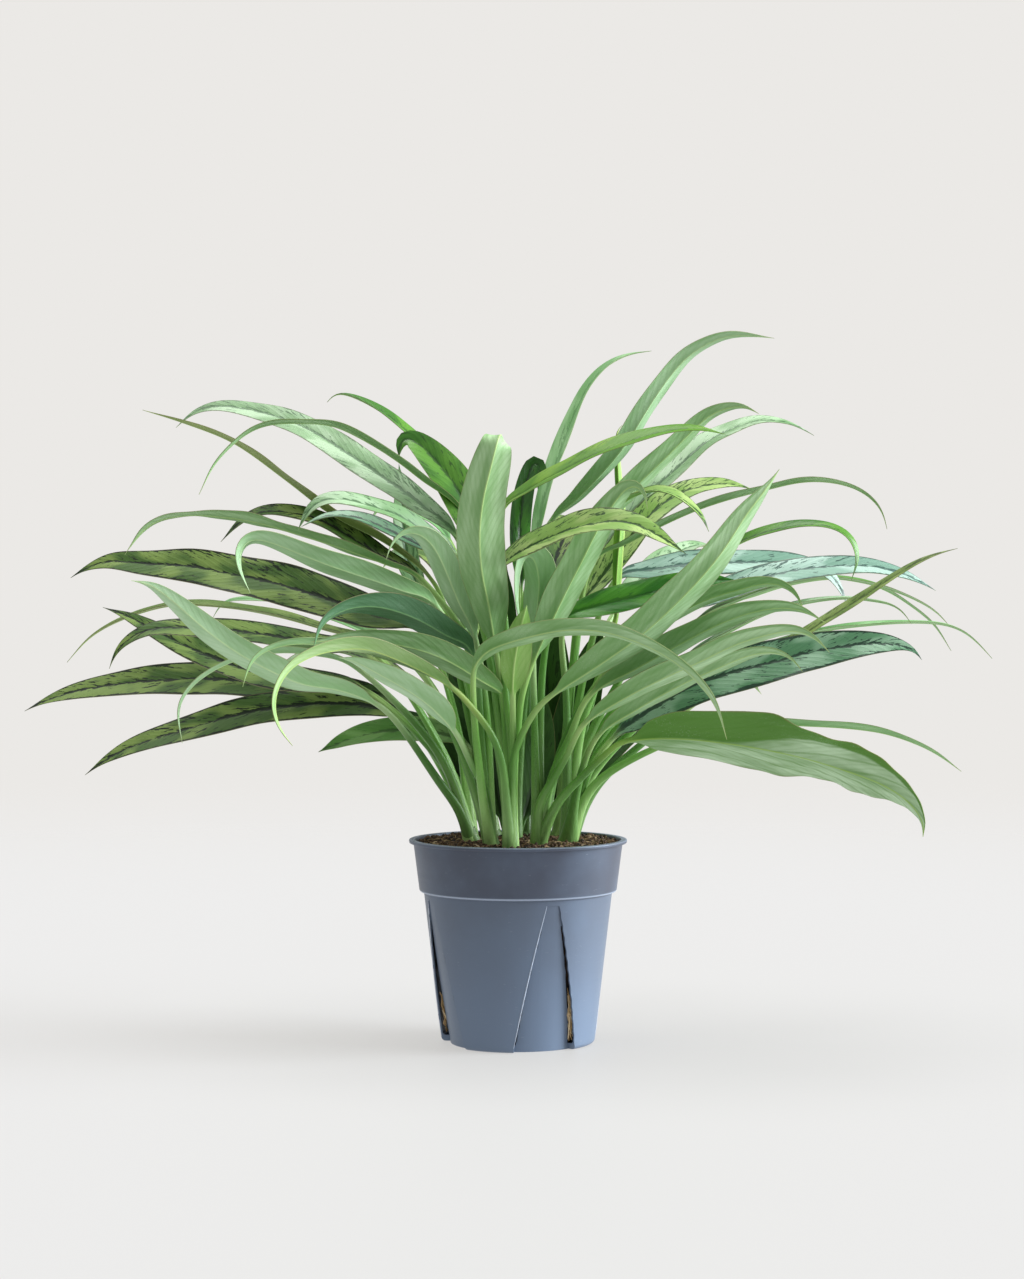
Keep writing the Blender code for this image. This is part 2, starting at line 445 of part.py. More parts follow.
def pot_profile():
    """The pot's section as (radius, height), from the rim down its outer side and back up inside."""
    lip_z = POT_HEIGHT - RIM_DROP
    floor_edge = FLOOR_TOP_Z + FLOOR_ROUND
    rounded = [(body_radius(BOTTOM_ROUND) - BOTTOM_ROUND * (1 - math.cos(turn)),
                BOTTOM_ROUND * (1 - math.sin(turn)))
               for turn in (math.radians(degrees) for degrees in (0, 30, 60, 90))]
    ring_inside = rounded[-1][0] - FOOT_RING_WIDTH
    return [
        (RIM_RADIUS - RIM_ROUND, POT_HEIGHT),
        (RIM_RADIUS, POT_HEIGHT - RIM_ROUND),
        (RIM_RADIUS - RIM_TAPER, lip_z),
        (COLLAR_TOP_RADIUS, lip_z - RIM_UNDERCUT),
        (COLLAR_BOTTOM_RADIUS, COLLAR_BOTTOM_Z),
        (COLLAR_BOTTOM_RADIUS - COLLAR_ROUND, COLLAR_BOTTOM_Z - COLLAR_ROUND),
        (BODY_TOP_RADIUS, BODY_TOP_Z),
        *rounded,
        (ring_inside, 0.0),
        (ring_inside - FOOT_HEIGHT / 2, FOOT_HEIGHT),
        (CENTRE_PAD_RADIUS + FOOT_HEIGHT / 2, FOOT_HEIGHT),
        (CENTRE_PAD_RADIUS, 0.0),
        (0.0, 0.0),
        (0.0, FLOOR_TOP_Z),
        (body_radius(floor_edge) - WALL - FLOOR_ROUND, FLOOR_TOP_Z),
        (body_radius(floor_edge) - WALL, floor_edge),
        (BODY_TOP_RADIUS - WALL, BODY_TOP_Z + RIM_TAPER),
        (COLLAR_BOTTOM_RADIUS - WALL, COLLAR_BOTTOM_Z + WALL),
        (COLLAR_TOP_RADIUS - WALL, POT_HEIGHT - RIM_ROUND),
        (COLLAR_TOP_RADIUS - WALL + RIM_ROUND / 2, POT_HEIGHT),
    ]


def wedge(name, angle, top_half, bottom_half, top_z, bottom_z, collection):
    """A solid that widens downwards between two upright faces that meet at the pot's axis."""
    reach = 1.4 * BODY_TOP_RADIUS
    inner = 0.35 * BODY_BOTTOM_RADIUS
    shape = bmesh.new()
    levels = []
    for band in range(PANEL_BANDS + 1):
        share = band / PANEL_BANDS
        z = bottom_z + (top_z - bottom_z) * share
        half = bottom_half + (top_half - bottom_half) * share
        ring = []
        for radius, side in ((inner, -1), (reach, -1), (reach, 1), (inner, 1)):
            turn = angle + side * half
            ring.append(shape.verts.new((radius * math.cos(turn), radius * math.sin(turn), z)))
        levels.append(ring)
    shape.faces.new(levels[0][::-1])
    shape.faces.new(levels[-1])
    for low, high in zip(levels, levels[1:]):
        for i in range(4):
            j = (i + 1) % 4
            shape.faces.new((low[i], low[j], high[j], high[i]))
    return new_object(name, mesh_of(name, shape), collection)


def pot(collection, cutters):
    """The pot's turned body, opened by four wedges, with a leaning panel moulded into each opening."""
    made = turned("pot", pot_profile(), POT_STEPS, collection)
    below = -CUT_MARGIN
    spread = (PANEL_BOTTOM_HALF_ANGLE - PANEL_TOP_HALF_ANGLE) / PANEL_TOP_Z
    low_half = PANEL_BOTTOM_HALF_ANGLE - below * spread
    core_top = PANEL_TOP_Z + 2 * PANEL_ROOT
    core = turned("panel_core", [(panel_radius(core_top), core_top), (panel_radius(below), below),
                                 (0.0, below), (0.0, core_top)], POT_STEPS, cutters)
    shell_top = PANEL_TOP_Z + PANEL_ROOT
    shell_low = FLOOR_TOP_Z - WALL
    shell = turned("panel_shell", [(panel_radius(shell_top), shell_top), (panel_radius(shell_low), shell_low),
                                   (panel_radius(shell_low) - WALL, shell_low),
                                   (panel_radius(shell_top) - WALL, shell_top)], POT_STEPS, cutters)
    panel_top = PANEL_TOP_Z + 1.5 * PANEL_ROOT
    panel_top_half = PANEL_TOP_HALF_ANGLE - (panel_top - PANEL_TOP_Z) * spread - PANEL_SLIT
    for i in range(PANELS):
        angle = FIRST_PANEL_ANGLE + i * math.tau / PANELS
        notch = wedge("notch", angle, PANEL_TOP_HALF_ANGLE, low_half, PANEL_TOP_Z, below, cutters)
        boolean(notch, core, "DIFFERENCE", "MANIFOLD")
        boolean(made, notch, "DIFFERENCE", "MANIFOLD")
        panel = wedge("panel", angle, panel_top_half, low_half - PANEL_SLIT, panel_top, below, cutters)
        boolean(panel, shell, "INTERSECT", "MANIFOLD")
        boolean(made, panel, "UNION", "MANIFOLD")
    for i in range(DRAINS):
        turn = i * math.tau / DRAINS
        drain = drum("drain", DRAIN_RADIUS, 12, below, FLOOR_TOP_Z + CUT_MARGIN, cutters)
        drain.location = (DRAIN_CIRCLE * MM * math.cos(turn), DRAIN_CIRCLE * MM * math.sin(turn), 0.0)
        bpy.context.view_layer.update()
        boolean(made, drain, "DIFFERENCE", "MANIFOLD")
    made.data.materials.clear()
    made.data.materials.append(material("pot_plastic", POT_COLOUR, 0.42))
    made.data.shade_smooth()
    made.data.set_sharp_from_angle(angle=math.radians(35))
    return made


def drum(name, radius, sides, bottom_z, top_z, collection, top_radius=None):
    """An upright cylinder or cone between two heights."""
    shape = bmesh.new()
    bmesh.ops.create_cone(shape, cap_ends=True, segments=sides, radius1=radius,
                          radius2=radius if top_radius is None else top_radius, depth=top_z - bottom_z,
                          matrix=Matrix.Translation((0.0, 0.0, (top_z + bottom_z) / 2)))
    return new_object(name, mesh_of(name, shape), collection)


def soil(collection, cutters):
    """The potting mix: it fills the pot inside the panels, is crumbly on top and has a hole for each cane."""
    low = FLOOR_TOP_Z + SOIL_GAP
    side_gap = WALL + SOIL_GAP
    panel_top = PANEL_TOP_Z + PANEL_ROOT
    edge_z = SOIL_TOP_Z - SOIL_EDGE_DROP
    top_radius = collar_radius(edge_z) - side_gap
    profile = [
        (top_radius, edge_z),
        (COLLAR_BOTTOM_RADIUS - side_gap, COLLAR_BOTTOM_Z + WALL + 2 * SOIL_GAP),
        (BODY_TOP_RADIUS - side_gap - SOIL_GAP, BODY_TOP_Z + SOIL_GAP),
        (panel_radius(panel_top) - side_gap, panel_top),
        (panel_radius(low) - side_gap, low),
        (0.0, low),
        (0.0, SOIL_TOP_Z + SOIL_MOUND),
    ]
    for share in SOIL_RINGS[::-1]:
        radius = top_radius * share
        profile.append((radius, SOIL_TOP_Z + SOIL_MOUND * (1 - (radius / top_radius) ** 2)))
    made = turned("soil", profile, SOIL_STEPS, collection)
    for vertex in made.data.vertices:
        place = vertex.co / MM
        if place.z > edge_z and math.hypot(place.x, place.y) < top_radius - 1:
            lift = noise.noise(place / SOIL_CRUMBS[0]) + 0.5 * noise.noise(place / SOIL_CRUMBS[1])
            vertex.co.z += lift * SOIL_ROUGHNESS * MM
    for name, shoot in SHOOTS.items():
        hole = drum("hole_" + name, shoot.radius + HOLE_GAP, CANE_SIDES * 2, HOLE_BOTTOM_Z,
                    SOIL_TOP_Z + SOIL_MOUND + CUT_MARGIN, cutters)
        hole.location = (shoot.x * MM, shoot.y * MM, 0.0)
        bpy.context.view_layer.update()
        boolean(made, hole, "DIFFERENCE")
    made.data.materials.clear()
    made.data.materials.append(material("soil", SOIL_COLOUR, 0.95))
    return made


def seen(point):
    """The place, at its own depth, of a point that reads as (across, height) in the plane of the axis."""
    across, depth, height = point
    away = 1 - depth / EYE.y
    return Vector((EYE.x + (across - EYE.x) * away, depth, EYE.z + (height - EYE.z) * away))


def smooth_course(points, shares):
    """Places at the given shares of the length of a smooth curve through the points."""
    ends = [2 * points[0] - points[1], *points, 2 * points[-1] - points[-2]]
    fine = []
    for a, b, c, d in zip(ends, ends[1:], ends[2:], ends[3:]):
        for step in range(8):
            t = step / 8
            fine.append(0.5 * (2 * b + (c - a) * t + (2 * a - 5 * b + 4 * c - d) * t * t
                               + (3 * b - a - 3 * c + d) * t ** 3))
    fine.append(points[-1])
    lengths = [0.0]
    for a, b in zip(fine, fine[1:]):
        lengths.append(lengths[-1] + (b - a).length)
    places = []
    i = 0
    for share in shares:
        target = share * lengths[-1]
        while i < len(fine) - 2 and lengths[i + 1] < target:
            i += 1
        part = (target - lengths[i]) / (lengths[i + 1] - lengths[i])
        places.append(fine[i].lerp(fine[i + 1], part))
    return places


def between(table, share):
    """A value read from rows of (share, value), in straight steps."""
    for (s0, v0), (s1, v1) in zip(table, table[1:]):
        if share <= s1:
            return v0 + (v1 - v0) * (share - s0) / (s1 - s0)
    return table[-1][1]


def leaf_frames(places, face, twist, middle, neck):
    """At each place the heading, and the side and upper directions, carried along the rib without spin."""
    headings = []
    for i in range(len(places)):
        ahead = places[min(i + 1, len(places) - 1)] - places[max(i - 1, 0)]
        headings.append(ahead.normalized())
    uppers = [None] * len(places)
    start = face - face.dot(headings[middle]) * headings[middle]
    uppers[middle] = start.normalized()
    for i in range(middle + 1, len(places)):
        turn = headings[i - 1].rotation_difference(headings[i])
        uppers[i] = turn @ uppers[i - 1]
    for i in range(middle - 1, -1, -1):
        turn = headings[i + 1].rotation_difference(headings[i])
        uppers[i] = turn @ uppers[i + 1]
    frames = []
    for i, (heading, upper) in enumerate(zip(headings, uppers)):
        share = (i - middle) / (len(places) - 1 - neck)
        upper = Quaternion(heading, math.radians(twist) * share) @ upper
        frames.append((heading.cross(upper).normalized() * -1, upper))
    return frames


def leaf_sections(leaf, root):
    """Six-cornered sections from the stalk's root to the leaf's tip."""
    stalk_points = [root] + [seen(point) for point in leaf.stalk]
    blade_points = [seen(point) for point in leaf.blade]
    stalk = smooth_course(stalk_points + blade_points[:1], [i / STALK_RINGS for i in range(STALK_RINGS)])
    blade = smooth_course(blade_points, BLADE_RINGS)
    places = stalk + blade
    neck = len(stalk)
    middle = neck + len(blade) // 2
    frames = leaf_frames(places, Vector(leaf.face), leaf.twist, middle, neck)
    sections = []
    for i, (place, (side, upper)) in enumerate(zip(places, frames)):
        if i <= neck:
            radius = STALK_ROOT_RADIUS + (STALK_NECK_RADIUS - STALK_ROOT_RADIUS) * i / neck
            turns = [math.radians(150 - 60 * corner) for corner in range(6)]
            sections.append([place + radius * (math.cos(t) * side + math.sin(t) * upper) for t in turns])
            continue
        share = BLADE_RINGS[i - neck]
        half = leaf.width / 2 * between(BLADE_OUTLINE, share)
        lift = half * math.sin(math.radians(leaf.fold))
        out = half * math.cos(math.radians(leaf.fold))
        ripple = leaf.wave * math.sin(6 * math.pi * share) * math.sin(math.pi * share)
        thick = BLADE_THICKNESS / 2
        keel = thick + KEEL_DEPTH * (1 - share)
        left = place - out * side + (lift + ripple) * upper
        right = place + out * side + (lift - ripple) * upper
        sections.append([left + thick * upper, place + thick * upper, right + thick * upper,
                         right - thick * upper, place - keel * upper, left - thick * upper])
    return sections


def leaf_mesh(name, sections):
    """One closed skin over the sections, split into triangles alike on both faces."""
    shape = bmesh.new()
    rings = [[shape.verts.new(corner) for corner in section] for section in sections]
    for low, high in zip(rings, rings[1:]):
        for i in range(6):
            j = (i + 1) % 6
            if i in (0, 2, 3):
                shape.faces.new((low[i], low[j], high[j]))
                shape.faces.new((low[i], high[j], high[i]))
            else:
                shape.faces.new((low[i], low[j], high[i]))
                shape.faces.new((low[j], high[j], high[i]))
    shape.faces.new(rings[0][::-1])
    shape.faces.new(rings[-1])
    bmesh.ops.recalc_face_normals(shape, faces=shape.faces)
    return mesh_of(name, shape)


def cane(name, shoot, collection):
    """The short cane of a shoot: upright in the soil, narrowing and leaning above it."""
    made = drum(name, shoot.radius, CANE_SIDES, CANE_BOTTOM_Z, CANE_TOP_Z, collection,
                top_radius=CANE_TOP_SHARE * shoot.radius)
    shape = bmesh.new()
    shape.from_mesh(made.data)
    level = Vector((0.0, 0.0, STALK_ROOT_Z * MM))
    bmesh.ops.bisect_plane(shape, geom=shape.verts[:] + shape.edges[:] + shape.faces[:], plane_co=level,
                           plane_no=(0.0, 0.0, 1.0))
    for vertex in shape.verts:
        height = vertex.co.z / MM
        away = max(0.0, (height - STALK_ROOT_Z) / (CANE_TOP_Z - STALK_ROOT_Z))
        if height < STALK_ROOT_Z + 1:
            flat = Vector((vertex.co.x, vertex.co.y, 0.0)).normalized() * shoot.radius * MM
            vertex.co.x, vertex.co.y = flat.x, flat.y
        vertex.co.x += (shoot.x + shoot.lean[0] * away) * MM
        vertex.co.y += (shoot.y + shoot.lean[1] * away) * MM
    shape.to_mesh(made.data)
    shape.free()
    return made


def shoot_object(name, shoot, green, collection):
    """A shoot: its cane with all its leaves grown into it as one body."""
    made = cane("shoot_" + name, shoot, collection)
    leaves = new_collection("leaves_" + name)
    root = Vector((shoot.x, shoot.y, STALK_ROOT_Z))
    for leaf_name, leaf in LEAVES.items():
        if leaf.shoot == name:
            new_object(leaf_name, leaf_mesh(leaf_name, leaf_sections(leaf, root)), leaves)
    boolean(made, leaves, "UNION", "MANIFOLD")
    remove_all(leaves)
    bpy.data.collections.remove(leaves)
    made.data.materials.clear()
    made.data.materials.append(green)
    return made


def main():
    for made in list(bpy.data.objects):
        bpy.data.objects.remove(made)
    plant = new_collection("potted_chinese_evergreen")
    cutters = new_collection("cutters")
    cutters.hide_render = True
    pot(plant, cutters)
    soil(plant, cutters)
    green = material("foliage", LEAF_COLOUR, 0.45)
    for name, shoot in SHOOTS.items():
        shoot_object(name, shoot, green, plant)
    for helper in cutters.objects:
        helper.hide_render = True
        helper.display_type = "WIRE"


main()
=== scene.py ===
"""Looks of the potted Chinese evergreen: fine leaves, pot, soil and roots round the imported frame.

Lengths are in millimetres and turned to metres where a mesh is made, in the frame's own axes: the pot
stands on z = 0, its axis is the z axis, and the front of the plant looks towards -Y.
"""

import math
import random
from collections import namedtuple

import bmesh
import bpy
import numpy as np
from mathutils import Matrix, Quaternion, Vector, noise


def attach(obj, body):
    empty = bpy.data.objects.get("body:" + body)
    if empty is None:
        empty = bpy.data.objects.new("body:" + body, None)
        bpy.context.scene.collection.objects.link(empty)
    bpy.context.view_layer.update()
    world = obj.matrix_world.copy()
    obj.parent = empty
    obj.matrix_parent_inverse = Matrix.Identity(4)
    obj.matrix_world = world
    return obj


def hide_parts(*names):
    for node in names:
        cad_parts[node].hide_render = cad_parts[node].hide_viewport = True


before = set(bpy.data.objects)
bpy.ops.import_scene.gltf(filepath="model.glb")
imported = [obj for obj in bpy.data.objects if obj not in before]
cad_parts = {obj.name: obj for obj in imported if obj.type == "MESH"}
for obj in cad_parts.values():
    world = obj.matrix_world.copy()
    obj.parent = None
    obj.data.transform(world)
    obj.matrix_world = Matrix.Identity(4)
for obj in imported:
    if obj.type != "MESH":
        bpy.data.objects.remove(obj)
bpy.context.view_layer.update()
MM = 0.001

# The map for baking: its margins, those of a strip in it, and a cap's half width, half height and distance from
# the map's end, all as shares
BAKE_MAP = "OFBake"
MAP_MARGIN = 0.01
STRIP_MARGIN = 0.03
CAP_WIDTH = 0.01
CAP_HEIGHT = 0.003
CAP_FROM_END = 0.004

# Pot
POT_HEIGHT = 158.0
RIM_RADIUS = 85.0
RIM_DROP = 2.6
RIM_ROUND = 0.8
RIM_TAPER = 0.2
RIM_UNDERCUT = 0.6
COLLAR_TOP_RADIUS = 81.5
COLLAR_BOTTOM_RADIUS = 77.0
COLLAR_BOTTOM_Z = 119.5
COLLAR_ROUND = 2.0
BODY_TOP_RADIUS = 73.3
BODY_TOP_Z = 116.6
BODY_BOTTOM_RADIUS = 59.6
BOTTOM_ROUND = 3.6
WALL = 1.4
FLOOR_TOP_Z = 4.6
FLOOR_ROUND = 1.6
FOOT_RING_WIDTH = 6.0
FOOT_HEIGHT = 2.6
CENTRE_PAD_RADIUS = 22.0
DRAIN_RADIUS = 4.0
DRAIN_CIRCLE = 36.0
DRAINS = 6
DRAIN_SIDES = 32
POT_STEPS = 144
ARC_STEPS = 5
POT_SHARP = 35.0

# Side panels, each between two slits that spread downwards
PANELS = 4
FIRST_PANEL_ANGLE = math.radians(-68.7)
PANEL_TOP_Z = 113.0
PANEL_TOP_HALF_ANGLE = math.radians(3.9)
PANEL_BOTTOM_HALF_ANGLE = math.radians(25.3)
PANEL_SPREAD = (PANEL_BOTTOM_HALF_ANGLE - PANEL_TOP_HALF_ANGLE) / PANEL_TOP_Z
PANEL_LEAN = 6.5
PANEL_SINK = 0.5
PANEL_SLIT = math.radians(0.7)
PANEL_BANDS = 12
PANEL_ROOT = 2.5
SLIT_EDGE = 0.5
SLIT_EDGE_SINK = 0.15
CUT_MARGIN = 5.0

# Soil, with the size of each kind of lump and how far it stands up
SOIL_TOP_Z = 155.0
SOIL_MOUND = 1.6
SOIL_EDGE_DROP = 1.0
SOIL_LIP = 1.0
SOIL_GAP = 0.6
SOIL_RINGS = 46
SOIL_STEPS = 180
SOIL_LUMPS = ((11.0, 1.4), (4.5, 1.0), (1.9, 0.5))
SOIL_RISE = 1.0
SOIL_MARGIN = 1.2
SOIL_CANE_GAP = 1.0

# Loose lumps on the soil, fibres on it and roots in the slits. A pair is a range for random draws.
SCRAP_SINK = 0.28
SCRAP_POWER = 2.2
SCRAP_SPREAD = ((0.7, 1.5), (0.6, 1.0))
SCRAP_ROUGH = (0.72, 1.18)
FIBRES = 420
FIBRE_POINTS = 5
FIBRE_STEP = (1.5, 4.5)
FIBRE_LIFT = (0.2, 1.4)
FIBRE_BEND = (-0.6, 0.6)
FIBRE_MARGIN = 1.5
FIBRE_RADIUS = (0.2, 0.45)
SLIT_ROOTS = 72
ROOT_POINTS = 6
ROOT_LOW = (6, 22)
ROOT_STEP = (3.5, 6.0)
ROOT_ASIDE = (-0.4, 4.0)
ROOT_INWARD = (0.1, 0.75)
ROOT_RADIUS = (0.35, 0.8)
STRAND_SIDES = 6
STRAND_STEPS = 5
STRAND_END = 0.35
STRAND_SHARP = 60.0
DRAWS = 12

# Canes
CANE_BOTTOM_Z = 118.0
CANE_TOP_Z = 196.0
CANE_TOP_SHARE = 0.55
CANE_SHARE = 0.86
CANE_SIDES = 32
STALK_ROOT_Z = 158.0
SCAR_SPACING = 8.0
SCAR_HALF_WIDTH = 0.8
SCAR_SHARE = 0.03

# Leaves
STALK_ROOT_RADIUS = 4.3
STALK_NECK_RADIUS = 2.1
STALK_STEP = 4.5
SHEATH_BOTTOM_Z = 146.0
SHEATH_LENGTH = 30.0
SHEATH_SHARES = (0.80, 0.98)
SHEATH_ASIDE = 1.2
SHEATH_LEAN = 5.0
BLADE_STEP = 3.2
COURSE_STEP = 2.5
CURVE_STEPS = 24
LEAST_STALK_RINGS = 8
LEAST_BLADE_RINGS = 30
SETTLE = (0.0, 0.2, -1.4)   # moves every course, so that its skin stays inside the frame's box
RELAX_PASSES = 10
WIDTH_PASSES = 6
REFERENCE_SHARE = 0.53
NECK_SHARE = 0.085
POINT_SHARE = 0.86
HALF_THICKNESS = 0.36
MARGIN_THINNING = 0.12
TIP_WIDTH = 0.1
TIP_THICKNESS = 0.35
KEEL_LEAST = 0.12
KEEL_DEPTH = 1.3
KEEL_HALF_WIDTH = 1.5
CRINKLE_SPACING = 38.0
CRINKLE_SLANT = 4.0
CRINKLE_DEPTH = 0.3
CRINKLE_SHIFT = 2.1
WAVES = 3
FLUTTER = 0.055
FLUTTER_LENGTHS = (9, 15)
FLUTTER_SHIFT = 6.3
CAMBER = 0.35
GROOVE_DEPTH = 0.45
GROOVE_HALF_WIDTH = 1.0
CHANNEL_DEPTH = 0.45
CHANNEL_HALF_WIDTH = 0.45
RING_GAP = 6.0
TWIST_FROM = -0.4
SEED_STEP = 7.31
LEAF_SHARP = 50.0
ACROSS = (-1.0, -0.94, -0.8, -0.62, -0.44, -0.27, -0.11, 0.0, 0.11, 0.27, 0.44, 0.62, 0.8, 0.94, 1.0)
BLADE_OUTLINE = ((0.0, 0.10), (0.07, 0.46), (0.16, 0.78), (0.28, 0.96), (0.38, 1.0), (0.55, 0.94),
                 (0.69, 0.80), (0.82, 0.56), (0.93, 0.28), (1.0, 0.05))

# The leaves' courses below are laid out as the plant reads to an eye at this place.
EYE = Vector((-4.7, -2262.0, 356.0))

# A shoot's cane: its place in the soil, its radius there and where its top leans to.
Shoot = namedtuple("Shoot", "x y radius lean")
SHOOTS = {
    "left": Shoot(-35, -14, 7.5, (-14, -3)),
    "left_back": Shoot(-17.5, 26, 7.0, (-14, 5)),
    "left_front": Shoot(-20, -43, 7.0, (-8, -6)),
    "front": Shoot(-6, -62, 7.0, (1, -4)),
    "centre": Shoot(-4, 2, 7.5, (-2, 2)),
    "right_front": Shoot(15, -42, 7.0, (9, -6)),
    "right": Shoot(38, -16, 9.0, (14, -4)),
    "right_back": Shoot(31, 26, 7.5, (14, 5)),
    "back": Shoot(4, 44, 7.5, (0, 9)),
}

# A leaf: its shoot, its look, the blade's width, where the middle of its upper face looks, the points that
# its stalk passes and those of its blade from neck to tip (across, depth, height), its twist from neck to
# tip in degrees, how far its halves are folded up in degrees, and how far its edges wave.
Leaf = namedtuple("Leaf", "shoot look width face stalk blade twist fold wave", defaults=(0, 14, 0))

